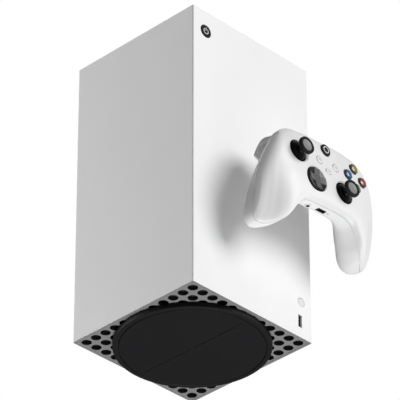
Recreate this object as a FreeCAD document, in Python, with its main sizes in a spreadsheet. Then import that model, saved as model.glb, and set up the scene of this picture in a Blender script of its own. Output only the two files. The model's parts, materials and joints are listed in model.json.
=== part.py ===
import FreeCAD, Part
import math
import os
import Sketcher

# A tower game console with its wireless controller. Millimetres, +Z up, the console's front
# towards -Y. The origin is the centre of the round foot's underside. The controller hangs
# upright in front of the console, in the pose that CONTROLLER_POSE gives, and its own pieces are
# drawn in a local frame: x to its right, y towards the bumpers, z out of its face.

Vector = FreeCAD.Vector
DOC = FreeCAD.newDocument("console")
SHEET = DOC.addObject("Spreadsheet::Sheet", "dim")
KEPT = {}

DIMENSIONS = [
    ("console_width", 151.0, "outer width of the tower"),
    ("console_depth", 151.0, "outer depth of the tower"),
    ("overall_height", 301.0, "foot underside to the top edge"),
    ("foot_height", 5.65, "foot underside to the shell's lower edge"),
    ("shell_wall", 2.5, "thickness of the outer shell"),
    ("corner_radius", 1.5, "radius of the tower's upright corners"),
    ("fit_gap", 0.3, "gap between a cover and its opening"),
    ("grille_count", 12, "holes along each side of a grille"),
    ("grille_pitch", 12.13, "spacing of the grille holes"),
    ("grille_hole", 4.7, "radius of a grille hole"),
    ("grille_plate", 3.0, "thickness of the lower grille"),
    ("dish_depth", 4.5, "depth of the dished top"),
    ("foot_radius", 71.5, "radius of the round foot"),
    ("foot_gap", 0.5, "gap between the foot's rim and the shell"),
    ("pad_radius", 66.0, "radius of the rubber pad under the foot"),
    ("pad_depth", 1.6, "thickness of the rubber pad"),
    ("rear_width", 116.0, "width of the opening in the back"),
    ("rear_low", 14.0, "height of the lower edge of that opening"),
    ("rear_high", 290.0, "height of the upper edge of that opening"),
    ("power_radius", 6.5, "radius of the power button"),
    ("power_place", -59.2, "power button, across"),
    ("power_level", 279.0, "power button, height"),
    ("pair_radius", 4.2, "radius of the pairing button"),
    ("pair_place", 62.0, "pairing button, across"),
    ("pair_level", 42.5, "pairing button, height"),
    ("usb_place", 60.3, "front socket, across"),
    ("usb_level", 22.25, "front socket, height"),
    ("usb_width", 4.6, "short side of a socket's mouth"),
    ("usb_length", 12.6, "long side of a socket's mouth"),
    ("fan_radius", 60.0, "tip radius of the fan"),
    ("fan_level", 272.0, "height of the fan's middle"),
    ("fan_blades", 9, "blades on the fan"),
    ("board_thickness", 1.6, "thickness of a console circuit board"),
    ("sheet_metal", 1.5, "thickness of the chassis sheet"),
    ("controller_across", 37.0, "controller face centre, x"),
    ("controller_front", -136.0, "controller face centre, y"),
    ("controller_level", 135.6, "controller face centre, z"),
    ("controller_yaw", 1.4, "turn about the upright axis"),
    ("controller_roll", -4.1, "turn about the front-to-back axis"),
    ("controller_tilt", 85.1, "turn about the left-to-right axis"),
    ("case_wall", 2.2, "wall of the controller's case"),
    ("stick_pivot", -7.0, "height of a stick's pivot under the face"),
    ("stick_hole", 12.25, "radius of a stick's opening"),
    ("stick_dome", 12.5, "radius of the dome under a stick cap"),
    ("stick_cap", 8.5, "radius of a stick's cap"),
    ("stick_top", 11.0, "height of a stick's rim above the face"),
    ("pad_disc", 11.9, "radius of the directional pad"),
    ("pad_hole", 12.6, "radius of the directional pad's opening"),
    ("pad_pivot", -5.6, "height of the directional pad's pivot"),
    ("face_radius", 5.05, "radius of a face button"),
    ("face_spacing", 10.5, "face button centre to the cluster's centre"),
    ("small_radius", 3.9, "radius of the view and menu buttons"),
    ("guide_radius", 7.4, "radius of the guide button"),
    ("button_gap", 0.3, "gap around a button"),
    ("button_skirt", 3.1, "from the case's face down to a button's flange"),
    ("button_flange", 0.8, "how far a button's flange stands out under the face"),
    ("jack_bore", 1.75, "radius of the headset jack's bore"),
    ("cell_radius", 7.15, "radius of an AA cell"),
    ("cell_length", 50.0, "length of an AA cell"),
    ("circuit", 1.2, "thickness of the controller's board"),
    ("circuit_top", -11.0, "height of that board's upper face"),
]


def fill_sheet():
    for row, (alias, amount, meaning) in enumerate(DIMENSIONS, start=1):
        SHEET.set(f"A{row}", meaning)
        SHEET.set(f"B{row}", str(amount))
        SHEET.setAlias(f"B{row}", alias)
    DOC.recompute()


def size(alias):
    return float(SHEET.get(alias))


# ---- drawing helpers ---------------------------------------------------------------------------

def drive(thing, prop, amount):
    """Bind a property to a sheet expression, or to a plain number."""
    thing.setExpression(prop, str(amount))


def box(name, sides, corner):
    """A block: three sides and its lowest corner, each a number or an expression."""
    block = DOC.addObject("Part::Box", name)
    for prop, amount in zip(("Length", "Width", "Height"), sides):
        drive(block, prop, amount)
    for axis, amount in zip("xyz", corner):
        drive(block, f"Placement.Base.{axis}", amount)
    return block


TURNS = {
    "+x": FreeCAD.Rotation(Vector(0, 1, 0), 90),
    "+y": FreeCAD.Rotation(Vector(1, 0, 0), -90),
    "-y": FreeCAD.Rotation(Vector(1, 0, 0), 90),
    "+z": FreeCAD.Rotation(),
}


def rod(name, radius, length, start, along="+z"):
    """A cylinder from its start point along an axis."""
    cylinder = DOC.addObject("Part::Cylinder", name)
    cylinder.Placement.Rotation = TURNS[along]
    drive(cylinder, "Radius", radius)
    drive(cylinder, "Height", length)
    for axis, amount in zip("xyz", start):
        drive(cylinder, f"Placement.Base.{axis}", amount)
    return cylinder


def ball(name, radius, centre):
    sphere = DOC.addObject("Part::Sphere", name)
    drive(sphere, "Radius", radius)
    for axis, amount in zip("xyz", centre):
        drive(sphere, f"Placement.Base.{axis}", amount)
    return sphere


def fuse(name, shapes):
    joined = DOC.addObject("Part::MultiFuse", name)
    joined.Shapes = shapes
    return joined


def cut(name, base, tools):
    """The base less all the tools."""
    difference = DOC.addObject("Part::Cut", name)
    difference.Base = base
    difference.Tool = tools[0] if len(tools) == 1 else fuse(f"{name}_tools", tools)
    return difference


def group(name, shapes):
    """Separate solids that share one node."""
    compound = DOC.addObject("Part::Compound", name)
    compound.Links = shapes
    return compound


def fixed_shape(name, shape):
    feature = DOC.addObject("Part::Feature", name)
    feature.Shape = shape
    return feature


def new_body(name):
    return DOC.addObject("PartDesign::Body", name)


def sketch_on(body, role, name, lift=0):
    """A sketch on one of the body's own origin planes, lifted along the plane's normal."""
    sketch = body.newObject("Sketcher::SketchObject", name)
    plane = next(item for item in body.Origin.OriginFeatures if item.Role == role)
    sketch.AttachmentSupport = (plane, "")
    sketch.MapMode = "FlatFace"
    sketch.AttachmentOffset = FreeCAD.Placement(Vector(0, 0, lift), FreeCAD.Rotation())
    return sketch


def draw_outline(sketch, points):
    """A closed outline of straight lines through the points, joined corner to corner."""
    first = sketch.GeometryCount
    corners = [Vector(x, y, 0) for x, y in points]
    for start, end in zip(corners, corners[1:] + corners[:1]):
        sketch.addGeometry(Part.LineSegment(start, end), False)
    last = sketch.GeometryCount - 1
    for index in range(first, last + 1):
        following = first if index == last else index + 1
        sketch.addConstraint(Sketcher.Constraint("Coincident", index, 2, following, 1))
    return first


def draw_rectangle(sketch, width, height):
    """A rectangle centred on the sketch's origin, its sides bound to expressions."""
    first = draw_outline(sketch, [(-10, -10), (10, -10), (10, 10), (-10, 10)])
    for side, kind in enumerate(("Horizontal", "Vertical", "Horizontal", "Vertical")):
        sketch.addConstraint(Sketcher.Constraint(kind, first + side))
    sketch.addConstraint(Sketcher.Constraint("Symmetric", first, 1, first + 2, 1, -1, 1))
    across = sketch.addConstraint(Sketcher.Constraint("DistanceX", first, 1, first, 2, 20.0))
    upwards = sketch.addConstraint(Sketcher.Constraint("DistanceY", first + 1, 1, first + 1, 2, 20.0))
    drive(sketch, f"Constraints[{across}]", width)
    drive(sketch, f"Constraints[{upwards}]", height)


def draw_circles(sketch, radius, centres):
    """Equal circles, the first one's radius bound to an expression."""
    first = sketch.GeometryCount
    for x, y in centres:
        sketch.addGeometry(Part.Circle(Vector(x, y, 0), Vector(0, 0, 1), 1.0), False)
    bound = sketch.addConstraint(Sketcher.Constraint("Radius", first, 1.0))
    drive(sketch, f"Constraints[{bound}]", radius)
    for offset in range(1, len(centres)):
        sketch.addConstraint(Sketcher.Constraint("Equal", first, first + offset))


def pad(body, sketch, length):
    feature = body.newObject("PartDesign::Pad", f"{body.Name}_pad")
    feature.Profile = sketch
    drive(feature, "Length", length)
    return feature


def pocket_through(body, sketch):
    """A pocket through everything on both sides of the sketch."""
    feature = body.newObject("PartDesign::Pocket", f"{body.Name}_pocket")
    feature.Profile = sketch
    feature.Type = "ThroughAll"
    feature.Midplane = True
    return feature


def turned(name, points):
    """A body turned about its own Z axis from a half profile of (radius, height) points."""
    body = new_body(name)
    sketch = sketch_on(body, "XZ_Plane", f"{name}_profile")
    draw_outline(sketch, points)
    spin = body.newObject("PartDesign::Revolution", f"{name}_turning")
    spin.Profile = sketch
    spin.ReferenceAxis = (sketch, ["V_Axis"])
    spin.Angle = 360
    return body


def extruded(name, outline, start, length, along="+x"):
    """A prism of a flat outline: (y, z) points along +x, or (x, y) points along +z."""
    if along == "+x":
        corners = [Vector(start, y, z) for y, z in outline]
        path = Vector(length, 0, 0)
    else:
        corners = [Vector(x, y, start) for x, y in outline]
        path = Vector(0, 0, length)
    face = Part.Face(Part.makePolygon(corners + corners[:1]))
    return fixed_shape(name, face.extrude(path))


def keep(thing, node, placement=None):
    """Name a finished sub-part and give it its place."""
    thing.Label = node
    if placement is not None:
        thing.Placement = placement
    KEPT[node] = thing
    return thing


def placed(x, y, z, rotation=None):
    return FreeCAD.Placement(Vector(x, y, z), rotation or FreeCAD.Rotation())


# ---- console: casing ---------------------------------------------------------------------------

def grille_centres(keep_hole):
    """Centres of the square grid of holes that pass a test on their distance from the axis."""
    pitch = size("grille_pitch")
    count = int(size("grille_count"))
    line = [(index - (count - 1) / 2) * pitch for index in range(count)]
    return [(x, y) for x in line for y in line if keep_hole(math.hypot(x, y))]


def outer_shell():
    """Square tube, open at both ends, with the front controls' openings and the back's."""
    body = new_body("shell_tube")
    draw_rectangle(sketch_on(body, "XY_Plane", "shell_outline"), "dim.console_width", "dim.console_depth")
    pad(body, DOC.shell_outline, "dim.overall_height - dim.foot_height")
    inside = sketch_on(body, "XY_Plane", "shell_inside")
    draw_rectangle(inside, "dim.console_width - 2 * dim.shell_wall", "dim.console_depth - 2 * dim.shell_wall")
    pocket_through(body, inside)
    DOC.recompute()
    half = size("console_width") / 2
    edges = body.Shape.Edges
    upright = [
        f"Edge{index}" for index, edge in enumerate(edges, start=1)
        if abs(edge.BoundBox.XMax) > half - 0.1 and edge.BoundBox.ZLength > 100
        or abs(edge.BoundBox.XMin) > half - 0.1 and edge.BoundBox.ZLength > 100
    ]
    tube = body.Tip
    rounding = body.newObject("PartDesign::Fillet", "shell_rounding")
    rounding.Base = (tube, upright)
    drive(rounding, "Radius", "dim.corner_radius")
    body.Tip = rounding
    body.Placement = placed(0, 0, size("foot_height"))
    front = "-dim.console_depth / 2 - 1"
    tools = [
        box("rear_opening", ("dim.rear_width", 6, "dim.rear_high - dim.rear_low"),
            ("-dim.rear_width / 2", "dim.console_depth / 2 - 4", "dim.rear_low")),
        rod("power_opening", "dim.power_radius + dim.button_gap", 6,
            ("dim.power_place", front, "dim.power_level"), "+y"),
        rod("pair_opening", "dim.pair_radius + dim.button_gap", 6,
            ("dim.pair_place", front, "dim.pair_level"), "+y"),
        box("usb_opening", ("dim.usb_width", 6, "dim.usb_length"),
            ("dim.usb_place - dim.usb_width / 2", front, "dim.usb_level - dim.usb_length / 2")),
    ]
    keep(cut("shell_with_openings", body, tools), "outer_shell")


def bottom_grille():
    """Flat plate just inside the shell's lower edge, perforated where the foot leaves it bare."""
    body = new_body("lower_plate")
    side = "dim.console_width - 2 * dim.shell_wall - 2 * dim.fit_gap"
    outline = sketch_on(body, "XY_Plane", "lower_outline")
    draw_rectangle(outline, side, side)
    pad(body, outline, "dim.grille_plate")
    holes = sketch_on(body, "XY_Plane", "lower_holes")
    bare = size("foot_radius") - size("grille_hole") - 1
    draw_circles(holes, "dim.grille_hole", grille_centres(lambda reach: reach > bare))
    pocket_through(body, holes)
    keep(body, "bottom_grille", placed(0, 0, size("foot_height") + 0.2))


def top_grille():
    """Perforated top, dished so that its middle lies lower than its rim."""
    side = "dim.console_width - 2 * dim.shell_wall - 2 * dim.fit_gap"
    depth = size("dish_depth")
    thick = size("grille_plate")
    top = size("overall_height") - 0.4
    reach = 70.0
    curve = (reach ** 2 + depth ** 2) / (2 * depth)
    plate = box("upper_plate", (side, side, depth + thick), (f"-({side}) / 2", f"-({side}) / 2", top - depth - thick))
    dish = ball("top_dish", curve, (0, 0, top - depth + curve))
    under = ball("top_under", curve, (0, 0, top - depth - thick + curve))
    room = cut("top_room", rod("top_bore", reach - 2, depth + 1, (0, 0, top - depth - thick - 1)), [under])
    dished = cut("dished_plate", plate, [dish, room])
    bores = [
        Part.makeCylinder(size("grille_hole"), 20, Vector(x, y, top - 15))
        for x, y in grille_centres(lambda reach: True)
    ]
    holes = fixed_shape("upper_holes", Part.makeCompound(bores))
    keep(cut("pierced_top", dished, [holes]), "top_grille")


def foot():
    """Round foot with a rebate for its rubber pad, and the pad with its groove in two straight runs."""
    radius = size("foot_radius")
    top = size("foot_height")
    gap = size("foot_gap")
    inner = size("pad_radius")
    rebate = size("pad_depth")
    disc = turned("foot_turning", [
        (0, rebate), (inner + 0.7, rebate), (inner + 0.7, 0.5), (inner + 1.2, 0.1), (radius - 1.2, 0.1),
        (radius - 0.35, 0.45), (radius, 1.3), (radius, top - gap - 0.4), (radius - 0.4, top - gap),
        (radius - 4, top - gap), (radius - 4, top + 0.2), (0, top + 0.2),
    ])
    keep(disc, "foot_disc")
    rubber = turned("pad_turning", [
        (0, 0), (inner - 0.6, 0), (inner, 0.6), (inner, rebate), (0, rebate),
    ])
    grooves = [box(f"pad_groove_{row}", (0.8, 60.5, 0.6), (-0.4, start, 0)) for row, start in enumerate((-62, 1.5))]
    keep(cut("grooved_pad", rubber, grooves), "foot_pad")


def ring_of_slots(name, columns, rows, cell, corner):
    """Upright vent slots for the back, as one tool."""
    slots = [
        box(f"{name}_{column}_{row}", (4.0, 10, 12.0),
            (corner[0] + column * cell[0], corner[1], corner[2] + row * cell[1]))
        for column in range(columns) for row in range(rows)
    ]
    return fuse(name, slots)


REAR_SOCKETS = {
    "hdmi_socket": (-38.0, 70.0, 15.2, 5.6),
    "ethernet_socket": (-38.0, 32.0, 13.0, 12.0),
    "storage_slot": (14.0, 70.0, 32.0, 8.0),
    "power_inlet": (40.0, 30.0, 18.0, 12.0),
}
REAR_USB = ((-10.0, 30.0), (6.0, 30.0))


def socket_hole(name, place, grow=0.0):
    """The mouth of a socket in the back, as a block along y."""
    x, z, width, height = place
    back = size("console_depth") / 2
    return box(name, (width + grow, 6, height + grow), (x - (width + grow) / 2, back - 4, z - (height + grow) / 2))


def rear_panel():
    """Flat back cover with the socket mouths and two fields of vent slots."""
    back = "dim.console_depth / 2 - dim.shell_wall"
    plate = box("rear_plate", ("dim.rear_width - 2 * dim.fit_gap", "dim.shell_wall",
                               "dim.rear_high - dim.rear_low - 2 * dim.fit_gap"),
                ("-dim.rear_width / 2 + dim.fit_gap", back, "dim.rear_low + dim.fit_gap"))
    depth = size("console_depth") / 2 - 5
    tools = [socket_hole(f"{node}_mouth", place, 0.6) for node, place in REAR_SOCKETS.items()]
    for index, (x, z) in enumerate(REAR_USB):
        tools.append(socket_hole(f"rear_usb_mouth_{index}", (x, z, 5.2, 13.2), 0.6))
    tools.append(ring_of_slots("rear_vents", 11, 8, (8.4, 18.0), (-44.0, depth, 112.0)))
    keep(cut("pierced_rear", plate, tools), "rear_panel")


def open_socket(node, place, depth, tongue):
    """A connector: a metal box open to the back, with a tongue inside."""
    x, z, width, height = place
    back = size("console_depth") / 2
    wall = 0.6
    case = box(f"{node}_case", (width, depth, height), (x - width / 2, back - 0.6 - depth, z - height / 2))
    room = box(f"{node}_room", (width - 2 * wall, depth, height - 2 * wall),
               (x - width / 2 + wall, back - 0.6 - depth + 1.5, z - height / 2 + wall))
    shell = cut(f"{node}_shell", case, [room])
    bar = box(f"{node}_tongue", (tongue[0], depth - 3, tongue[1]),
              (x - tongue[0] / 2 + tongue[2], back - 0.6 - depth + 1.0, z - tongue[1] / 2 + tongue[3]))
    return fuse(f"{node}_whole", [shell, bar])


def rear_sockets():
    tongues = {
        "hdmi_socket": (11.0, 1.0, 0, 0.4), "ethernet_socket": (8.0, 1.0, 0, 4.2),
        "storage_slot": (26.0, 1.2, 0, 0), "power_inlet": (3.0, 3.0, 0, 0),
    }
    for node, place in REAR_SOCKETS.items():
        keep(open_socket(node, place, 14.0, tongues[node]), node)
    pair = [
        open_socket(f"rear_usb_{index}", (x, z, 5.2, 13.2), 14.0, (1.4, 10.0, -0.9, 0))
        for index, (x, z) in enumerate(REAR_USB)
    ]
    keep(group("rear_usb_pair", pair), "rear_usb_sockets")


# ---- console: front controls -------------------------------------------------------------------

def front_button(node, radius, across, level, proud, flange, travel):
    """A round button in the front wall: its cap, and a flange that keeps it in from behind."""
    wall = size("shell_wall")
    behind = wall + travel + 0.4
    cap = turned(f"{node}_turning", [
        (0, proud), (radius - 0.5, proud), (radius, proud - 0.3), (radius, -wall - 0.3),
        (radius + flange, -wall - 0.3), (radius + flange, -behind), (0, -behind),
    ])
    keep(cap, node, placed(across, -size("console_depth") / 2, level, TURNS["-y"]))


def front_usb_socket():
    """Socket behind the front wall: a metal box open to the front, with its tongue."""
    front = size("console_depth") / 2
    x = size("usb_place")
    z = size("usb_level")
    width = size("usb_width")
    length = size("usb_length")
    wall = 0.5
    start = -front + size("shell_wall") + 0.1
    case = box("usb_case", (width + 2 * wall, 14.5, length + 2 * wall),
               (x - width / 2 - wall, start, z - length / 2 - wall))
    room = box("usb_room", ("dim.usb_width", 13.0, "dim.usb_length"), (x - width / 2, start - 0.5, z - length / 2))
    tongue = box("usb_tongue", (1.5, 10.0, length - 2.4), (x - 1.5, start + 3.0, z - length / 2 + 1.2))
    keep(fuse("usb_whole", [cut("usb_shell", case, [room]), tongue]), "front_usb_socket")


def side_feet():
    """Four small rubber feet on the right side, for lying the console down."""
    side = size("console_width") / 2
    feet = []
    for index, (y, z) in enumerate(((-60, 24), (60, 24), (-60, 282), (60, 282))):
        feet.append(turned(f"side_foot_{index}", [(0, 0), (5.2, 0), (5.2, 0.9), (4.5, 1.4), (0, 1.4)]))
        feet[-1].Placement = placed(side, y, z, TURNS["+x"])
    keep(group("side_feet_set", feet), "side_feet")


# ---- console: inside ---------------------------------------------------------------------------

SCREW_CORNERS = ((-40, -40), (40, -40), (-40, 40), (40, 40))


def center_chassis():
    """Cast plate that stands in the middle, with the flanges that the boards bolt to."""
    thick = size("sheet_metal") + 1.0
    plate = box("chassis_plate", (thick, 124, 240), (-thick / 2, -66, 12))
    flanges = [
        box("chassis_lower", (96, 120, 2.0), (-48, -60, 12)),
        box("chassis_upper", (60, 132, 2.0), (-30, -66, 250)),
    ]
    windows = [
        box("chassis_cable_gap", (10, 26, 30), (-5, 30, 30)),
        box("chassis_hand_hole", (10, 40, 18), (-5, -20, 226)),
    ]
    windows += [rod(f"chassis_hole_{index}", 1.7, 6, (x, y, 10)) for index, (x, y) in enumerate(SCREW_CORNERS)]
    keep(cut("chassis_pierced", fuse("chassis_frame", [plate] + flanges), windows), "center_chassis")


def board(node, x, corner, sides, chips):
    """An upright circuit board with its chips standing on the +x or the -x face."""
    thick = size("board_thickness")
    pieces = [box(f"{node}_sheet", (thick, sides[0], sides[1]), (x, corner[0], corner[1]))]
    for index, (y, z, wide, tall, rise) in enumerate(chips):
        start = x + thick if rise > 0 else x + rise
        pieces.append(box(f"{node}_chip_{index}", (abs(rise), wide, tall), (start, y, z)))
    keep(fuse(f"{node}_built", pieces), node)


def boards():
    memory = [(-52 + 22 * (index % 2), 150 + 14 * (index // 2), 12, 10, 1.2) for index in range(6)]
    processor = [(-16, 156, 26, 26, 2.4)]
    board("main_board", 5.0, (-68, 60), (126, 186), memory + processor)
    support = [(-20, 110, 18, 18, -1.6), (-50, 150, 12, 16, -1.4), (16, 60, 22, 12, -3.0)]
    board("southbridge_board", -7.0, (-68, 20), (126, 180), support)
    keep(fuse("ssd_stick", [
        box("ssd_sheet", (1.0, 22, 30), (-13.5, -40, 60)),
        box("ssd_chip", (1.4, 16, 12), (-14.9, -37, 64)),
        box("ssd_controller", (1.2, 12, 10), (-14.7, -35, 78)),
    ]), "ssd_module")


def heat_sink():
    """Block on the processor with a stack of upright fins."""
    body = new_body("sink_body")
    base = sketch_on(body, "XY_Plane", "sink_base")
    draw_outline(base, [(9.0, -50), (14.5, -50), (14.5, 50), (9.0, 50)])
    pad(body, base, 130)
    blade = sketch_on(body, "XY_Plane", "sink_blade")
    draw_outline(blade, [(14.0, -49), (58.0, -49), (58.0, -48), (14.0, -48)])
    fin = pad(body, blade, 130)
    rows = body.newObject("PartDesign::LinearPattern", "sink_fins")
    rows.Originals = [fin]
    rows.Direction = (blade, ["V_Axis"])
    rows.Length = 97
    rows.Occurrences = 21
    body.Tip = rows
    keep(body, "heat_sink", placed(0, 0, 104))


def power_supply():
    """Closed metal box with a row of slots at its upper end."""
    case = box("supply_case", (46, 118, 150), (-66, -58, 40))
    slots = [box(f"supply_slot_{index}", (30, 4, 4), (-58, -50 + 14 * index, 188)) for index in range(8)]
    keep(cut("supply_vented", case, slots), "power_supply")


def fan():
    """Large axial fan under the top grille: a frame on four arms, and its rotor."""
    level = size("fan_level")
    reach = size("fan_radius")
    ring = cut("fan_ring", rod("fan_outer", reach + 5.5, 22, (0, 0, level - 11)),
               [rod("fan_inner", reach + 2.5, 24, (0, 0, level - 12))])
    hub = rod("fan_seat", 17, 3, (0, 0, level - 15))
    arms = [
        box("fan_arm_x", (2 * reach + 9, 7, 3), (-reach - 4.5, -3.5, level - 15)),
        box("fan_arm_y", (7, 2 * reach + 9, 3), (-3.5, -reach - 4.5, level - 15)),
    ]
    collar = cut("fan_collar", rod("fan_collar_outer", reach + 5.5, 5, (0, 0, level - 15)),
                 [rod("fan_collar_inner", reach + 2.5, 7, (0, 0, level - 16))])
    spindle = rod("fan_spindle", 2.0, 16, (0, 0, level - 13))
    keep(fuse("fan_frame_built", [ring, hub, collar, spindle] + arms), "fan_frame")
    body = new_body("rotor_body")
    hub_sketch = sketch_on(body, "XY_Plane", "rotor_hub")
    draw_circles(hub_sketch, 21, [(0, 0)])
    draw_circles(hub_sketch, 2.06, [(0, 0)])
    pad(body, hub_sketch, 15)
    blade = sketch_on(body, "XY_Plane", "rotor_blade")
    draw_outline(blade, [(20, -2.5), (38, -7.5), (reach - 0.4, -4.5), (reach - 0.4, -1.5), (38, -5.0), (20, 0.5)])
    vane = pad(body, blade, 15)
    vanes = body.newObject("PartDesign::PolarPattern", "rotor_vanes")
    vanes.Originals = [vane]
    vanes.Axis = (blade, ["N_Axis"])
    vanes.Angle = 360
    drive(vanes, "Occurrences", "dim.fan_blades")
    body.Tip = vanes
    keep(body, "fan_rotor", placed(0, 0, level - 9))


def console_screws():
    """Screws that hold the chassis down on the lower grille."""
    pins = []
    for index, (x, y) in enumerate(SCREW_CORNERS):
        pins.append(turned(f"chassis_screw_{index}", [
            (0, -5.1), (1.5, -5.1), (1.5, 0), (3.0, 0), (3.0, 1.6), (0, 1.6),
        ]))
        pins[-1].Placement = placed(x, y, 14.0)
    keep(group("console_screw_set", pins), "console_screws")


# ---- controller: case --------------------------------------------------------------------------

# Cross-sections of the case at distances from its middle: the lowest and highest y, the height
# of the seam, how far the case rises over the seam and drops under it, the seam's slope along y,
# how square the section is at each end (2 is an ellipse), and how far the drop leans to the grip.
CASE_SECTIONS = [
    (0.0, -27.0, 40.5, -9.0, 9.5, 20.0, 0.00, 5.0, 4.6, -0.10),
    (12.0, -27.0, 41.0, -9.0, 9.5, 20.0, 0.00, 5.0, 4.4, -0.10),
    (24.0, -27.5, 41.5, -9.2, 9.5, 20.0, 0.01, 4.4, 3.6, -0.06),
    (33.0, -31.0, 41.5, -9.8, 9.6, 21.0, 0.02, 3.6, 3.0, 0.06),
    (41.0, -40.0, 41.0, -10.8, 10.0, 23.5, 0.04, 2.9, 2.9, 0.20),
    (49.0, -51.0, 38.0, -12.5, 10.8, 26.5, 0.08, 2.5, 2.7, 0.32),
    (57.0, -56.0, 31.0, -14.5, 11.3, 27.0, 0.16, 2.4, 2.5, 0.40),
    (64.0, -57.0, 19.0, -16.0, 10.9, 23.0, 0.25, 2.3, 2.4, 0.45),
    (70.0, -55.5, 6.0, -17.0, 9.4, 17.0, 0.30, 2.2, 2.3, 0.45),
    (74.5, -51.0, -8.0, -18.0, 7.0, 10.5, 0.31, 2.1, 2.2, 0.40),
    (76.2, -43.5, -17.0, -18.3, 3.6, 5.2, 0.31, 2.0, 2.0, 0.30),
    (76.6, -37.0, -24.0, -18.4, 1.2, 1.8, 0.31, 2.0, 2.0, 0.20),
]
CASE_END = CASE_SECTIONS[-1][0]
# Where the case is cut into sections, and how many spans draw each section's front or back.
CASE_PLACES = [0, 9, 18, 27, 35, 43, 50, 57, 63, 68, 72, 75, 76.2]
ARC_SPANS = 18


def monotone_slopes(places, heights):
    """Slopes for a smooth curve through the points that never overshoots them."""
    steps = [(heights[k + 1] - heights[k]) / (places[k + 1] - places[k]) for k in range(len(places) - 1)]
    slopes = [0.0]
    for before, after in zip(steps, steps[1:]):
        slopes.append(2 * before * after / (before + after) if before * after > 0 else 0.0)
    return slopes + [steps[-1]]


def eased(column, x):
    """A column of the section table at any distance from the middle."""
    places = [row[0] for row in CASE_SECTIONS]
    heights = [row[column] for row in CASE_SECTIONS]
    slopes = monotone_slopes(places, heights)
    x = min(abs(x), CASE_END)
    k = max(index for index in range(len(places) - 1) if places[index] <= x)
    span = places[k + 1] - places[k]
    u = (x - places[k]) / span
    return (heights[k] * (1 + 2 * u) * (1 - u) ** 2 + heights[k + 1] * u * u * (3 - 2 * u)
            + span * slopes[k] * u * (1 - u) ** 2 - span * slopes[k + 1] * u * u * (1 - u))


def signed_power(amount, power):
    return math.copysign(abs(amount) ** power, amount)


def case_point(x, angle, inset):
    """A point of the case's section at x, moved in by the inset."""
    low, high, seam, rise, drop, slope, low_square, high_square, lean = [
        eased(column, x) for column in range(1, 10)
    ]
    low += inset
    high -= inset
    c = math.cos(angle)
    s = math.sin(angle)
    square = low_square if c < 0 else high_square
    reach = rise - inset if s >= 0 else (drop - inset) * (1 - lean * c)
    bend = square if s >= 0 else min(square, 2.6)
    y = (low + high) / 2 + (high - low) / 2 * signed_power(c, 2 / square)
    return y, seam + reach * signed_power(s, 2 / bend) + slope * y


def case_arc(x, reading, inset, front):
    """The front or the back of the section at x, from one side of the seam to the other."""
    first = 0 if front else math.pi
    points = []
    for k in range(ARC_SPANS + 1):
        y, z = case_point(reading, first + math.pi * k / ARC_SPANS, inset)
        points.append(Vector(x, y, z))
    curve = Part.BSplineCurve()
    curve.interpolate(Points=points)
    return curve.toShape(), points


def case_loft(inset, halves):
    """The case's form through its sections: both halves, or one closed along the seam."""
    shrink = (CASE_PLACES[-1] - inset) / CASE_PLACES[-1]
    wires = []
    for place in [-x for x in CASE_PLACES[:0:-1]] + CASE_PLACES:
        arcs = [case_arc(place * shrink, abs(place), inset, front) for front in halves]
        edges = [edge for edge, points in arcs]
        if len(arcs) == 1:
            points = arcs[0][1]
            edges.append(Part.makeLine(points[-1], points[0]))
        wires.append(Part.Wire(edges))
    return Part.makeLoft(wires, True, False)


LEFT_STICK = (-38.0, 15.3)
RIGHT_STICK = (18.7, -8.1)
PAD_CENTRE = (-18.7, -8.1)
CLUSTER = (38.0, 15.3)
GUIDE = (0.0, 30.5)
VIEW = (-10.9, 15.5)
MENU = (10.9, 15.5)
SHARE = (0.0, 7.0)
TRIGGER_PIVOT = (22.0, -17.0)
TRIGGER_SPAN = (34.0, 56.5)


def controller_pose():
    turn = FreeCAD.Rotation(size("controller_yaw"), size("controller_roll"), size("controller_tilt"))
    return placed(size("controller_across"), size("controller_front"), size("controller_level"), turn)


def face_buttons_places():
    x, y = CLUSTER
    step = size("face_spacing")
    return {
        "face_button_bottom": (x, y - step), "face_button_right": (x + step, y),
        "face_button_left": (x - step, y), "face_button_top": (x, y + step),
    }


def bumper_block(side, gap):
    """The block of the case's top edge that one bumper fills, with more room under its outer end."""
    start = 24.5 - gap
    length = 32.5 + 2 * gap
    foot = 26.6 - 2.2 * gap
    return Part.makeBox(length, 30, 11.0 + 2 * gap,
                        Vector(start if side > 0 else -start - length, foot, -16.2 - gap))


def bridge_block(gap):
    """The block of the case's top edge between the two bumpers."""
    return Part.makeBox(47.6 + 2 * gap, 30, 11.0 + 2 * gap, Vector(-23.8 - gap, 30 - gap, -16.2 - gap))


def trigger_block(side):
    """The opening that a trigger swings in."""
    low, high = TRIGGER_SPAN
    length = high - low + 1.4
    start = low - 0.7 if side > 0 else -high - 0.7
    return Part.makeBox(length, 40, 34, Vector(start, 25.5, -50.7))


def door_block(gap):
    """The block of the case's back that the battery door fills."""
    return Part.makeBox(56 + 2 * gap, 40 + 2 * gap, 20, Vector(-28 - gap, -13 - gap, -40))


def upright_hole(radius, place, low=-30.0, tall=60.0):
    return Part.makeCylinder(radius, tall, Vector(place[0], place[1], low))


def share_prism(grow, low, tall):
    """The share button's long round outline, as a prism."""
    half = 1.6
    radius = 2.6 + grow
    x, y = SHARE
    middle = Part.makeBox(2 * half, 2 * radius, tall, Vector(x - half, y - radius, low))
    ends = [Part.makeCylinder(radius, tall, Vector(x + end * half, y, low)) for end in (-1, 1)]
    return middle.fuse(ends).removeSplitter()


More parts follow.
